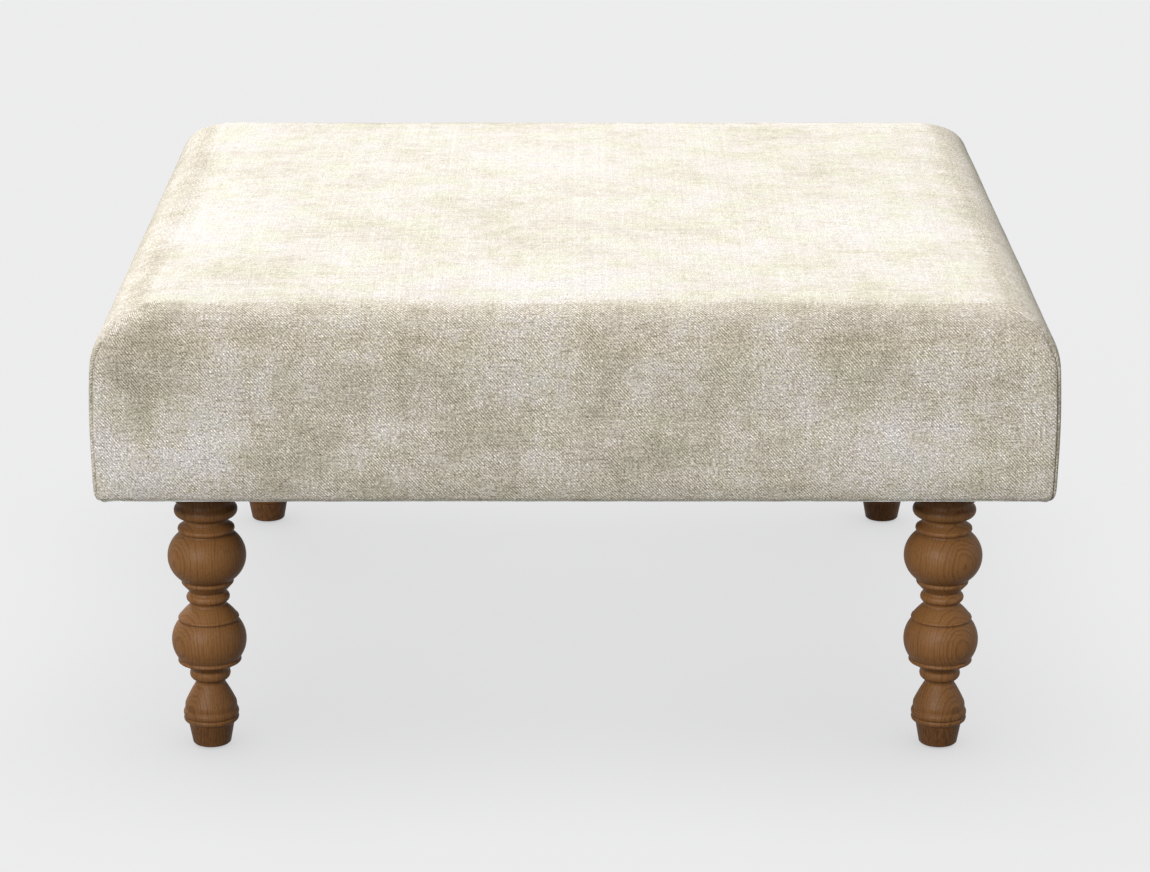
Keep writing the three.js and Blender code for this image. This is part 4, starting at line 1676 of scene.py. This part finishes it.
@dataclass
class Frame:
    """The hardwood rails and corner blocks that the padding hides.

    Attributes:
        outer_round: The round of the long rails' outer upright edges.
        arris: How far every other edge is eased.
    """

    outer_round: float = 4 * MM
    arris: float = 0.7 * MM

    def rail(self, name: str, node: str, finish: bpy.types.Material) -> None:
        """Planes one rail and eases its edges.

        Args:
            name: The piece's name.
            node: The CAD node, a long rail where it reaches the outer corners of the frame.
            finish: Its material.
        """
        low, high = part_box(node)
        piece = block(name, low, high)
        if high.x - low.x > high.y - low.y:
            outer = max(low.y, high.y, key=abs)
            with editing(piece) as mesh:
                pick(piece, mesh, "edges", lambda edge: all(
                    abs(point.co.y - outer) < MM and abs(point.co.x - edge.verts[0].co.x) < MM
                    for point in edge.verts
                ))
                bpy.ops.mesh.bevel(offset=self.outer_round, segments=4)
        apply_modifier(piece, "BEVEL", width=self.arris, segments=2, angle_limit=math.radians(40))
        smooth(piece, 30)
        finish_piece(piece, finish, "frame_timber", node)

    def build(self) -> None:
        """Builds the rails and dresses the corner blocks."""
        along_x = FrameTimber().material("timber_along_x", (0, math.radians(90), 0))
        along_y = FrameTimber().material("timber_along_y", (math.radians(90), 0, 0))
        upright = FrameTimber().material("timber_upright", (0, 0, 0))
        for side, finish in (("front", along_x), ("back", along_x), ("left", along_y), ("right", along_y)):
            self.rail(f"{side}_seat_rail", f"{side}_rail", finish)
        for corner in Corner:
            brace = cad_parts[f"{corner.label}_block"]
            for place in brace.material_slots:
                place.material = upright
            LOG.info("%s: dressed", brace.name)


# The webbing, the hessian and the dust cloth


@dataclass
class Lining:
    """The cloths that are stretched over and under the frame, with their tacks and staples.

    Attributes:
        strap_width, strap_thickness: The size of the webbing.
        strap_cells: Cells across a strap.
        lift: How far a strap rises and falls to pass over and under the others.
        strap_margin: How far past a crossing strap's edge it stays level.
        fold, fold_gap: How much of each strap's end is turned back and tacked down, and the space in it.
        hessian, felt: The thicknesses of the hessian and of the dust cloth.
        felt_sag: How far the dust cloth hangs down in the middle.
        plate_hold, plate_reach: How far from each leg's axis the dust cloth lies level, and how far past
            that it still sags less.
        staple, staple_wire, staple_leg: The width, the wire and the depth of a staple.
        staple_pitch, staple_inset: From staple to staple, and from the cloth's edge.
        staple_end: From the end of a row of staples to the line of the next row.
        staple_lean, staple_jog: How far a staple is turned, in radians, and how far it is out of line.
        tack_head, tack_depth: The radius of a tack's head, and its length.
        tack_inset, tack_stagger: From a strap's end to its tacks, and how much deeper two of them sit.
        plate_gap, plate_corner: The space round a leg plate, and the round of the hole's corners.
        plate_margin: How near the hole's edges no other cut of the net comes.
    """

    strap_width: float = 50 * MM
    strap_thickness: float = 1.5 * MM
    strap_cells: int = 4
    lift: float = 0.9 * MM
    strap_margin: float = 4 * MM
    fold: float = 36 * MM
    fold_gap: float = 0.16 * MM
    hessian: float = 0.8 * MM
    felt: float = 0.8 * MM
    felt_sag: float = 3.5 * MM
    plate_hold: float = 55 * MM
    plate_reach: float = 90 * MM
    staple: float = 11 * MM
    staple_wire: float = 0.8 * MM
    staple_leg: float = 6 * MM
    staple_pitch: float = 47 * MM
    staple_inset: float = 5.5 * MM
    staple_end: float = 25 * MM
    staple_lean: float = 0.09
    staple_jog: float = 1.2 * MM
    tack_head: float = 3.6 * MM
    tack_depth: float = 9 * MM
    tack_inset: float = 14 * MM
    tack_stagger: float = 4 * MM
    plate_gap: float = 0.8 * MM
    plate_corner: float = 6.8 * MM
    plate_margin: float = 12 * MM

    def sheet_blank(self, name: str, node: str, corner: float, cuts: list[float]) -> Piece:
        """Cuts a flat square cloth with rounded corners, at the height of its CAD node's top.

        Args:
            name: The piece's name.
            node: The CAD node.
            corner: The round of its corners.
            cuts: Where it is divided, both ways, from its middle.

        Returns:
            The piece, one skin thick.
        """
        low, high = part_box(node)
        bpy.ops.object.select_all(action="DESELECT")
        bpy.ops.mesh.primitive_plane_add(size=high.x - low.x, location=(0, 0, high.z))
        piece = added(name)
        with editing(piece) as mesh:
            for cut in cuts:
                for way in ((1, 0, 0), (0, 1, 0)):
                    bpy.ops.mesh.select_all(action="SELECT")
                    bpy.ops.mesh.bisect(plane_co=[cut * share for share in way], plane_no=way)
            reach = high.x - MM
            pick(piece, mesh, "verts", lambda point: abs(point.co.x) > reach and abs(point.co.y) > reach)
            bpy.ops.mesh.bevel(offset=corner, segments=4, affect="VERTICES")
        return piece

    def lay_flat(self, piece: Piece) -> None:
        """Gives a flat cloth its own place as its UV map."""
        places = points_of(piece)
        layers = piece.data.uv_layers
        cloth = layers[0] if layers else layers.new()
        for loop in piece.data.loops:
            cloth.data[loop.index].uv = places[loop.vertex_index, :2]

    def hessian_sheet(self, finish: bpy.types.Material) -> None:
        """Builds the hessian that keeps the foam off the webbing.

        Args:
            finish: Its material.
        """
        low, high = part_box("hessian")
        cuts = [high.x * step / 12 for step in range(-11, 12)]
        piece = self.sheet_blank("hessian_sheet", "hessian", 8 * MM, cuts)
        self.lay_flat(piece)
        places = points_of(piece)
        places[:, 2] += 0.1 * MM * ripple(places, 0.05, 4.0, 2)
        move_points(piece, places)
        apply_modifier(piece, "SOLIDIFY", thickness=self.hessian, offset=-1.0)
        finish_piece(piece, finish, "hessian", "hessian")

    def ribbon(self, name: str, path: list[tuple[float, float]]) -> Piece:
        """Draws a path lengthways and upwards, and widens it into a strap along X.

        Args:
            name: The piece's name.
            path: Places along X and up, along the middle of the strap's thickness.

        Returns:
            The strap.
        """
        piece = drawn(name, path, -self.strap_width / 2)
        with editing(piece):
            bpy.ops.mesh.select_all(action="SELECT")
            for _ in range(self.strap_cells):
                step = {"value": (0, self.strap_width / self.strap_cells, 0)}
                bpy.ops.mesh.extrude_edges_move(TRANSFORM_OT_translate=step)
        return piece

    def strap(self, name: str, node: str, first_over: bool, finish: bpy.types.Material) -> None:
        """Weaves one strap over and under the others, with its ends turned back.

        Args:
            name: The piece's name.
            node: The CAD node that it replaces.
            first_over: Whether it passes over the first strap that it crosses.
            finish: Its material.
        """
        low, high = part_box(node)
        along_x = high.x - low.x > high.y - low.y
        crossing = "along" if along_x else "across"
        boxes = [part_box(f"webbing_{crossing}_{number}") for number in range(1, 6)]
        middles = sorted((a.x + b.x) / 2 if along_x else (a.y + b.y) / 2 for a, b in boxes)
        level = (low.z + high.z) / 2
        half = high.x if along_x else high.y
        flat = self.strap_width / 2 + self.strap_margin
        stops = [(-half, -self.lift)]
        for index, middle in enumerate(middles):
            lift = self.lift if (index % 2 == 0) == first_over else -self.lift
            stops += [(middle - flat, lift), (middle + flat, lift)]
        stops.append((half, -self.lift))
        gap = (self.strap_thickness + self.fold_gap) / 2
        end = half - gap - self.strap_thickness / 2
        run = np.linspace(-end, end, 87)
        path = [(s, level + self.height_at(s, stops)) for s in run]
        turn = [
            (end + gap * math.sin(angle), path[-1][1] + gap * (1 - math.cos(angle)))
            for angle in np.linspace(0, math.pi, 7)[1:]
        ]
        turn += [(end - self.fold * step / 4, path[-1][1] + 2 * gap) for step in range(1, 5)]
        back = [(-s, z) for s, z in reversed(turn)]
        piece = self.ribbon(name, back + path + turn)
        self.lay_flat(piece)
        apply_modifier(piece, "SOLIDIFY", thickness=self.strap_thickness, offset=0.0)
        places = points_of(piece)
        if along_x:
            places[:, 1] += (low.y + high.y) / 2
        else:
            places = np.stack([(low.x + high.x) / 2 - places[:, 1], places[:, 0], places[:, 2]], axis=1)
        move_points(piece, places)
        face_outwards(piece)
        smooth(piece, 40)
        finish_piece(piece, finish, "webbing", node)

    @staticmethod
    def height_at(place: float, stops: list[tuple[float, float]]) -> float:
        """The height of a strap at a place, eased from stop to stop.

        Args:
            place: How far along the strap.
            stops: The places and heights between which it rises and falls.

        Returns:
            The height over the strap's own level.
        """
        for (start, low), (end, high) in zip(stops, stops[1:]):
            if place <= end:
                share = (place - start) / (end - start)
                return low + (high - low) * share * share * (3 - 2 * share)
        return stops[-1][1]

    def felt_sheet(self, finish: bpy.types.Material) -> None:
        """Builds the dust cloth, cut out round each leg plate and sagging a little between its staples.

        Args:
            finish: Its material.
        """
        plate_low, plate_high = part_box("back_right_plate")
        hole_low, hole_high = plate_low.x - self.plate_gap, plate_high.x + self.plate_gap
        low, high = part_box("dust_cloth")
        steps = [high.x * step / 16 for step in range(-15, 16)]
        near_low, near_high = hole_low - self.plate_margin, hole_high + self.plate_margin
        clear = [cut for cut in steps if not near_low < abs(cut) < near_high]
        inside = [(hole_low + hole_high) / 2 * side for side in (-1, 1)]
        cuts = clear + [hole_low, hole_high, -hole_low, -hole_high] + inside
        piece = self.sheet_blank("felted_dust_cloth", "dust_cloth", 17 * MM, cuts)

        def over_plate(place: Vector, spare: float) -> bool:
            """Whether a place is over one of the leg plates' holes, grown by a spare length."""
            return all(hole_low - spare < abs(value) < hole_high + spare for value in place.xy)

        with editing(piece) as mesh:
            pick(piece, mesh, "faces", lambda face: over_plate(face.calc_center_median(), 0))
            bpy.ops.mesh.delete(type="FACE")
            pick(piece, mesh, "verts", lambda point: point.is_boundary and over_plate(point.co, MM) and all(
                min(abs(abs(value) - hole_low), abs(abs(value) - hole_high)) < MM for value in point.co.xy
            ))
            bpy.ops.mesh.bevel(offset=self.plate_corner, segments=4, affect="VERTICES")
        places = points_of(piece)
        axis = (plate_low.x + plate_high.x) / 2
        away = np.hypot(np.abs(places[:, 0]) - axis, np.abs(places[:, 1]) - axis)
        loose = np.clip((away - self.plate_hold) / self.plate_reach, 0, 1)
        edge = (1 - (places[:, 0] / high.x) ** 2) * (1 - (places[:, 1] / high.x) ** 2)
        sag = self.felt_sag * np.sqrt(np.clip(edge, 0, 1)) * loose
        places[:, 2] -= sag * (1 + 0.25 * ripple(places, 0.16, 6.0, 3))
        move_points(piece, places)
        apply_modifier(piece, "SOLIDIFY", thickness=self.felt, offset=-1.0)
        smooth(piece, 40)
        finish_piece(piece, finish, "dust_cloth", "dust_cloth")

    def staples(self, finish: bpy.types.Material) -> None:
        """Drives the staples that hold the dust cloth's edge.

        Args:
            finish: Their material.
        """
        low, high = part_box("dust_cloth")
        wire = self.staple_wire
        half = self.staple / 2
        start = Vector((-half, -wire / 2, low.z - 0.6 * wire))
        pattern = block("dust_cloth_staples", start, Vector((half, wire / 2, low.z)))
        with editing(pattern) as mesh:
            for side in (-1, 1):
                bpy.ops.mesh.select_all(action="SELECT")
                bpy.ops.mesh.bisect(plane_co=(side * (half - wire), 0, 0), plane_no=(1, 0, 0))
            pick(pattern, mesh, "faces", lambda face: face.normal.z > 0.5 and (
                abs(face.calc_center_median().x) > half - wire
            ))
            leg = {"value": (0, 0, self.staple_leg)}
            bpy.ops.mesh.extrude_region_move(TRANSFORM_OT_translate=leg)
        apply_modifier(pattern, "BEVEL", width=0.2 * wire, segments=1, angle_limit=math.radians(40))
        shape = points_of(pattern)
        inset = high.x - self.staple_inset
        end = inset - self.staple_end
        count = round(2 * end / self.staple_pitch)
        copies = []
        for number, along in enumerate(np.linspace(-end, end, count)):
            for quarter in range(4):
                stray = noise.noise(Vector((number * 1.7, quarter * 3.1, 0)))
                lean = math.radians(90 * quarter) + self.staple_lean * stray
                jog = self.staple_jog * noise.noise(Vector((quarter * 2.3, number * 1.9, 5)))
                spot = Vector((along, -inset + jog)) if quarter % 2 == 0 else Vector((inset + jog, along))
                spot = -spot if quarter > 1 else spot
                copy = twin(pattern, f"staple_{quarter}_{number}", Vector((0, 0, 0)))
                turn = np.array([[math.cos(lean), math.sin(lean)], [-math.sin(lean), math.cos(lean)]])
                placed = shape.copy()
                placed[:, :2] = shape[:, :2] @ turn + np.array(spot)
                move_points(copy, placed)
                copies.append(copy)
        bpy.data.objects.remove(pattern)
        piece = joined("dust_cloth_staples", copies)
        finish_piece(piece, finish, "zinc_steel")

    def tacks(self, finish: bpy.types.Material) -> None:
        """Drives the tacks through the turned-back ends of the webbing.

        Args:
            finish: Their material.
        """
        low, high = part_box("webbing_across_1")
        top = (low.z + high.z) / 2 - self.lift + 1.5 * self.strap_thickness + self.fold_gap
        head, tip, shank = self.tack_head, -self.tack_depth, 0.8 * MM
        profile = [(0.0, tip), (shank, tip + 2 * MM), (shank, 0.0)]
        profile += [(head, 0.0), (0.75 * head, 0.2 * MM), (0.0, 0.3 * MM)]
        pattern = lathe("webbing_tack", profile, 12)
        copies = []
        for way in ("across", "along"):
            for number in range(1, 6):
                low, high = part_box(f"webbing_{way}_{number}")
                middle = (low + high) / 2
                for side in (-1, 1):
                    for step in (-1.5, -0.5, 0.5, 1.5):
                        inset = self.tack_inset + self.tack_stagger * (step**2 < 1)
                        out = side * ((high.x if way == "across" else high.y) - inset)
                        across = step * self.strap_width / 4
                        spot = (out, middle.y + across) if way == "across" else (middle.x + across, out)
                        name = f"tack_{way}_{number}_{side}_{step}"
                        copies.append(twin(pattern, name, Vector((*spot, top))))
        bpy.data.objects.remove(pattern)
        piece = joined("webbing_tacks", copies)
        smooth(piece, 40)
        finish_piece(piece, finish, "zinc_steel")

    def build(self) -> None:
        """Builds the cloths from the webbing down to the dust cloth."""
        jute = JuteCloth("jute_webbing", shade(176, 148, 104), shade(92, 72, 46), 1.3 * MM).material()
        loose_jute = JuteCloth("jute_hessian", shade(190, 162, 116), shade(70, 54, 34), 1.7 * MM).material()
        felt = FibreMat("felted_black", shade(110, 110, 112), shade(60, 60, 62), 0.012, 0.3 * MM).material()
        steel = ZincSteel().material("tack_steel")
        for number in range(1, 6):
            over = number % 2 == 1
            self.strap(f"jute_strap_across_{number}", f"webbing_across_{number}", over, jute)
            self.strap(f"jute_strap_along_{number}", f"webbing_along_{number}", not over, jute)
        self.tacks(steel)
        self.hessian_sheet(loose_jute)
        self.felt_sheet(felt)
        self.staples(steel)


# The fittings


@dataclass
class Fittings:
    """What joins the legs to the frame, and the glides under the feet.

    Attributes:
        plate_round, plate_thickness: The corners and the thickness of a leg plate.
        boss_radius, bore_radius: The plate's threaded boss, and the hole in it.
        screw_reach: How far the screws are from the leg's axis, both ways.
        screw_head, head_height, screw_core, screw_thread, screw_pitch: A screw's head, shank and thread.
        recess_width, recess_length, recess_depth: The cross in a screw's head.
        bolt_radius, bolt_core: The hanger bolt over and inside its threads.
        wood_pitch, machine_pitch: Its coarse thread for the leg and its fine thread for the plate.
        glide_radius, glide_height: The pad of a glide.
        pin_radius: Its pin.
        ease: The clearance between pieces, and how far edges are eased.
    """

    plate_round: float = 6 * MM
    plate_thickness: float = 2.5 * MM
    boss_radius: float = 7 * MM
    bore_radius: float = 4.3 * MM
    screw_reach: float = 25 * MM
    screw_head: float = 3.6 * MM
    head_height: float = 2.2 * MM
    screw_core: float = 1.35 * MM
    screw_thread: float = 1.9 * MM
    screw_pitch: float = 1.8 * MM
    stain_and_shade_width: float = 0.9 * MM
    stain_and_shade_length: float = 4.2 * MM
    stain_and_shade_depth: float = 1.5 * MM
    bolt_radius: float = 4 * MM
    bolt_core: float = 3.3 * MM
    wood_pitch: float = 3.2 * MM
    machine_pitch: float = 1.25 * MM
    glide_radius: float = 12 * MM
    glide_height: float = 1.7 * MM
    pin_radius: float = 1.2 * MM
    ease: float = 0.3 * MM

    def thread(self, name: str, core: float, outer: float, pitch: float, span: tuple[float, float]) -> Piece:
        """Winds the ridge of a screw thread.

        Args:
            name: The piece's name.
            core: The radius under the ridge.
            outer: The radius over it.
            pitch: From turn to turn.
            span: The lowest and highest point of its middle.

        Returns:
            The closed ridge.
        """
        bottom, top = span
        bpy.ops.object.select_all(action="DESELECT")
        bpy.ops.mesh.primitive_circle_add(vertices=3, radius=MM)
        piece = added(name)
        foot = 0.42 * pitch
        corners = [(0.9 * core, 0, bottom - foot), (0.9 * core, 0, bottom + foot), (outer, 0, bottom)]
        move_points(piece, np.array(corners))
        turns = max(1, int((top - bottom) / pitch))
        apply_modifier(
            piece, "SCREW", angle=math.tau, screw_offset=pitch, iterations=turns, steps=16, render_steps=16
        )
        with editing(piece):
            bpy.ops.mesh.select_all(action="SELECT")
            bpy.ops.mesh.fill_holes(sides=3)
        face_outwards(piece)
        return piece

    def cut(self, piece: Piece, tool: Piece, way: str = "DIFFERENCE") -> None:
        """Cuts a piece with a tool, or adds the tool to it, and puts the tool away."""
        apply_modifier(piece, "BOOLEAN", operation=way, object=tool, solver="EXACT")
        bpy.data.objects.remove(tool)

    def plate(self) -> Piece:
        """Presses a leg plate about the Z axis, with its boss, its bore and four countersinks.

        Returns:
            The plate.
        """
        low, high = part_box("front_left_plate")
        half = (high.x - low.x) / 2
        top = low.z + self.plate_thickness
        piece = block("leg_plate", Vector((-half, -half, low.z)), Vector((half, half, top)))
        with editing(piece) as mesh:
            pick(piece, mesh, "edges", lambda edge: abs(edge.verts[0].co.z - edge.verts[1].co.z) > MM)
            bpy.ops.mesh.bevel(offset=self.plate_round, segments=6)
        boss = self.boss_radius
        flare = [(0.0, low.z + MM), (boss + MM, low.z + MM), (boss + MM, top), (boss, top + MM)]
        flare += [(boss, high.z - 0.5 * MM), (boss - 0.5 * MM, high.z), (0.0, high.z)]
        self.cut(piece, lathe("plate_boss", flare, 40), "UNION")
        bore = self.bore_radius
        mouth = [(0.0, low.z - MM), (bore + 1.4 * MM, low.z - MM), (bore, low.z + 0.4 * MM)]
        mouth += [(bore, high.z + MM), (0.0, high.z + MM)]
        self.cut(piece, lathe("plate_bore", mouth, 40))
        wide = self.screw_head + self.ease
        shank = self.screw_thread + self.ease
        sink = [(0.0, low.z - MM), (wide, low.z - MM), (wide, low.z + self.ease)]
        sink += [(shank, low.z + self.head_height), (shank, top + MM), (0.0, top + MM)]
        pattern = lathe("countersink", sink, 32)
        for corner in Corner:
            side_x, side_y = corner.value
            shift = Vector((side_x * self.screw_reach, side_y * self.screw_reach, 0))
            self.cut(piece, twin(pattern, "countersink_cutter", shift))
        bpy.data.objects.remove(pattern)
        apply_modifier(piece, "BEVEL", width=0.25 * MM, segments=2, angle_limit=math.radians(50))
        smooth(piece, 40)
        return piece

    def screw(self) -> Piece:
        """Makes a countersunk wood screw about the Z axis, with a cross in its head.

        Returns:
            The screw.
        """
        low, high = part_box("front_left_screw_a")
        neck = low.z + self.head_height
        core = self.screw_core
        profile = [(0.0, low.z), (self.screw_head - 0.2 * MM, low.z), (self.screw_head, low.z + 0.25 * MM)]
        profile += [(self.screw_thread - 0.1 * MM, neck), (self.screw_thread - 0.1 * MM, neck + 5 * MM)]
        profile += [(core, neck + 5.4 * MM), (core, high.z - 5 * MM), (0.0, high.z)]
        piece = lathe("wood_screw", profile, 24)
        size = Vector((self.stain_and_shade_length, self.stain_and_shade_width, 2 * self.stain_and_shade_depth)) / 2
        for turn in range(2):
            half = size if turn == 0 else Vector((size.y, size.x, size.z))
            tool = block("driver", Vector((0, 0, low.z)) - half, Vector((0, 0, low.z)) + half)
            with editing(tool) as mesh:
                pick(tool, mesh, "faces", lambda face: face.normal.z > 0.5)
                bpy.ops.transform.resize(value=(0.55, 0.55, 1))
            self.cut(piece, tool)
        span = (neck + 6.5 * MM, high.z - 5 * MM)
        ridge = self.thread("screw_ridge", core, self.screw_thread, self.screw_pitch, span)
        piece = joined("wood_screw", [piece, ridge])
        smooth(piece, 40)
        return piece

    def hanger_bolt(self) -> Piece:
        """Makes a hanger bolt about the Z axis: wood thread below, a plain collar, machine thread above.

        Returns:
            The bolt.
        """
        low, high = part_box("front_left_hanger_bolt")
        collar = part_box("front_left_leg")[1].z
        core, radius = self.bolt_core, self.bolt_radius
        profile = [(0.0, low.z), (core, low.z + 8 * MM), (core, collar - 5 * MM), (radius, collar - 4 * MM)]
        profile += [(radius, collar - 0.5 * MM), (core, collar), (core, high.z - MM), (core - MM, high.z)]
        profile += [(0.0, high.z)]
        body = lathe("hanger_bolt", profile, 28)
        in_leg = (low.z + 8 * MM, collar - 6 * MM)
        in_boss = (collar + MM, high.z - 2 * MM)
        coarse = self.thread("coarse_ridge", core, radius, self.wood_pitch, in_leg)
        fine = self.thread("fine_ridge", core, radius, self.machine_pitch, in_boss)
        piece = joined("hanger_bolt", [body, coarse, fine])
        smooth(piece, 40)
        return piece

    def glide(self) -> Piece:
        """Moulds a glide about the Z axis: a pad with a rounded rim and a shallow dish, and its pin.

        Returns:
            The glide.
        """
        low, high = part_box("front_left_glide")
        rim, height = self.glide_radius, self.glide_height
        profile = [(0.0, 0.35 * MM), (4 * MM, 0.3 * MM), (5 * MM, 0.0), (rim - MM, 0.0)]
        turns = np.linspace(0, math.pi / 2, 6)[1:]
        profile += [(rim - MM * (1 - math.sin(turn)), MM * (1 - math.cos(turn))) for turn in turns]
        profile += [(rim, height - 0.2 * MM), (rim - 0.2 * MM, height), (self.pin_radius, height)]
        profile += [(self.pin_radius, high.z - 3 * MM), (0.0, high.z)]
        piece = lathe("glide", profile, 48)
        smooth(piece, 40)
        return piece

    def build(self) -> None:
        """Makes each fitting once, and sets a copy at each of its places."""
        steel = ZincSteel().material("zinc_steel")
        nylon = MouldedNylon().material()
        parts = (
            (self.plate(), "plate", "leg_plate", steel, "zinc_steel"),
            (self.hanger_bolt(), "hanger_bolt", "threaded_bolt", steel, "zinc_steel"),
            (self.glide(), "glide", "foot_glide", nylon, "glide_nylon"),
        )
        screw = self.screw()
        for corner in Corner:
            axis = axis_of(f"{corner.label}_leg")
            for pattern, node, name, finish, slot in parts:
                piece = twin(pattern, f"{corner.label}_{name}", axis)
                finish_piece(piece, finish, slot, f"{corner.label}_{node}")
            for letter in "abcd":
                node = f"{corner.label}_screw_{letter}"
                piece = twin(screw, f"{corner.label}_wood_screw_{letter}", axis_of(node))
                finish_piece(piece, steel, "zinc_steel", node)
        for pattern in (screw, *(part[0] for part in parts)):
            bpy.data.objects.remove(pattern)


# The studio


@dataclass
class Studio:
    """A pale floor, soft light from above and the camera of the photograph.

    Attributes:
        floor_half: Half the floor's width.
        floor, bounce: The floor's own colour as the camera sees it, and as it lights the stool.
        shown: The level that the floor and the world have for the camera.
        shadow_share: How much of the floor's shading by the lamps the camera sees.
        shadow_depth, shadow_reach: How dark and how wide the soft shadow round the stool's foot is.
        sky: The level of the world's light.
        key, fill, side: The power of the lamps behind and above, in front, and on the right.
        key_turn, fill_turn, side_turn: Their turns from straight down about X and Y, in degrees.
        key_angle, fill_angle, side_angle: How wide they are, in degrees.
        eye, tilt, lens, sensor: The camera's place, its turn up from straight down in degrees, its
            focal length and its sensor's width in millimetres.
    """

    floor_half: float = 40.0
    floor: Colour = (0.60, 0.60, 0.60)
    bounce: Colour = (0.06, 0.059, 0.057)
    shown: Colour = shade(236, 236, 237)
    shadow_share: float = 0.02
    shadow_depth: float = 0.38
    shadow_reach: float = 0.325
    sky: float = 0.46
    key: float = 4.88
    key_turn: tuple[float, float] = (-49.5, -27.5)
    key_angle: float = 24.0
    fill: float = 3.13
    fill_turn: tuple[float, float] = (54.6, -43.7)
    fill_angle: float = 26.0
    side: float = 0.6
    side_turn: tuple[float, float] = (0.0, 84.0)
    side_angle: float = 50.0
    eye: Vector = field(default_factory=lambda: Vector((0.0, -3.8121, 1.3551)))
    tilt: float = 73.230
    lens: float = 118.58
    sensor: float = 36.0

    def seen_or_lit(self, bench: NodeBench) -> Socket:
        """1 for what the camera sees, straight or in gloss or through glass, and 0 for light."""
        path = bench.add("LightPath").outputs
        seen = bench.math("MAXIMUM", path["Is Camera Ray"], path["Is Glossy Ray"])
        return bench.math("MAXIMUM", seen, path["Is Transmission Ray"])

    def ground(self) -> None:
        """Lays the floor, which keeps a part of the stool's shadow and can be seen through from below."""
        bpy.ops.object.select_all(action="DESELECT")
        bpy.ops.mesh.primitive_plane_add(size=2 * self.floor_half)
        floor = added("studio_floor")
        material = bpy.data.materials.new("studio_floor")
        material.use_nodes = True
        material.node_tree.nodes.clear()
        bench = NodeBench(material.node_tree)
        colour = bench.blend(self.seen_or_lit(bench), self.bounce, self.floor)
        lit = bench.add("BsdfDiffuse", {"Color": colour}).outputs[0]
        near = bench.add("AmbientOcclusion", {"Distance": self.shadow_reach}, samples=12).outputs["AO"]
        level = bench.scaled(near, self.shadow_depth, 1 - self.shadow_depth)
        glow = bench.add("Emission", {"Color": self.shown, "Strength": level}).outputs[0]
        seen = bench.times(self.seen_or_lit(bench), 1 - self.shadow_share)
        face = bench.add("MixShader", {0: seen, 1: lit, 2: glow}).outputs[0]
        below = bench.add("NewGeometry").outputs["Backfacing"]
        clear = bench.add("BsdfTransparent").outputs[0]
        whole = bench.add("MixShader", {0: below, 1: face, 2: clear}).outputs[0]
        bench.add("OutputMaterial", {"Surface": whole})
        floor.data.materials.append(material)

    def sky_light(self) -> None:
        """Sets the world: an even light, which the camera sees as the floor's grey."""
        world = bpy.data.worlds.new("studio")
        world.use_nodes = True
        world.node_tree.nodes.clear()
        bench = NodeBench(world.node_tree)
        light = bench.add("Background", {"Color": (1.0, 1.0, 1.0), "Strength": self.sky}).outputs[0]
        backdrop = bench.add("Background", {"Color": self.shown, "Strength": 1.0}).outputs[0]
        mixed = bench.add("MixShader", {0: self.seen_or_lit(bench), 1: light, 2: backdrop}).outputs[0]
        bench.add("OutputWorld", {"Surface": mixed})
        bpy.context.scene.world = world

    def lamp(self, name: str, power: float, turn: tuple[float, float], angle: float) -> None:
        """Hangs a wide soft lamp.

        Args:
            name: The lamp's name.
            power: Its power.
            turn: Its turns from straight down about X and Y, in degrees.
            angle: How wide it is, in degrees.
        """
        light = bpy.data.lights.new(name, "SUN")
        light.energy = power
        light.angle = math.radians(angle)
        lamp = bpy.data.objects.new(name, light)
        lamp.rotation_euler = (math.radians(turn[0]), math.radians(turn[1]), 0)
        bpy.context.scene.collection.objects.link(lamp)

    def camera(self) -> None:
        """Sets up the camera at the photograph's angle."""
        camera = bpy.data.objects.new("camera", bpy.data.cameras.new("camera"))
        camera.data.lens = self.lens
        camera.data.sensor_width = self.sensor
        camera.location = self.eye
        camera.rotation_euler = (math.radians(self.tilt), 0, 0)
        bpy.context.scene.collection.objects.link(camera)
        bpy.context.scene.camera = camera

    def build(self) -> None:
        """Sets up the studio."""
        bpy.context.scene.view_settings.view_transform = "Standard"
        self.ground()
        self.sky_light()
        self.lamp("key", self.key, self.key_turn, self.key_angle)
        self.lamp("fill", self.fill, self.fill_turn, self.fill_angle)
        self.lamp("side", self.side, self.side_turn, self.side_angle)
        self.camera()


def main() -> None:
    """Builds the stool from the studio up, one sub-assembly after another."""
    logging.basicConfig(level=logging.INFO, format="%(name)s: %(message)s")
    Studio().build()
    Pad().build()
    TurnedLegs().build()
    Frame().build()
    Lining().build()
    Fittings().build()


if __name__ == "__main__":
    main()
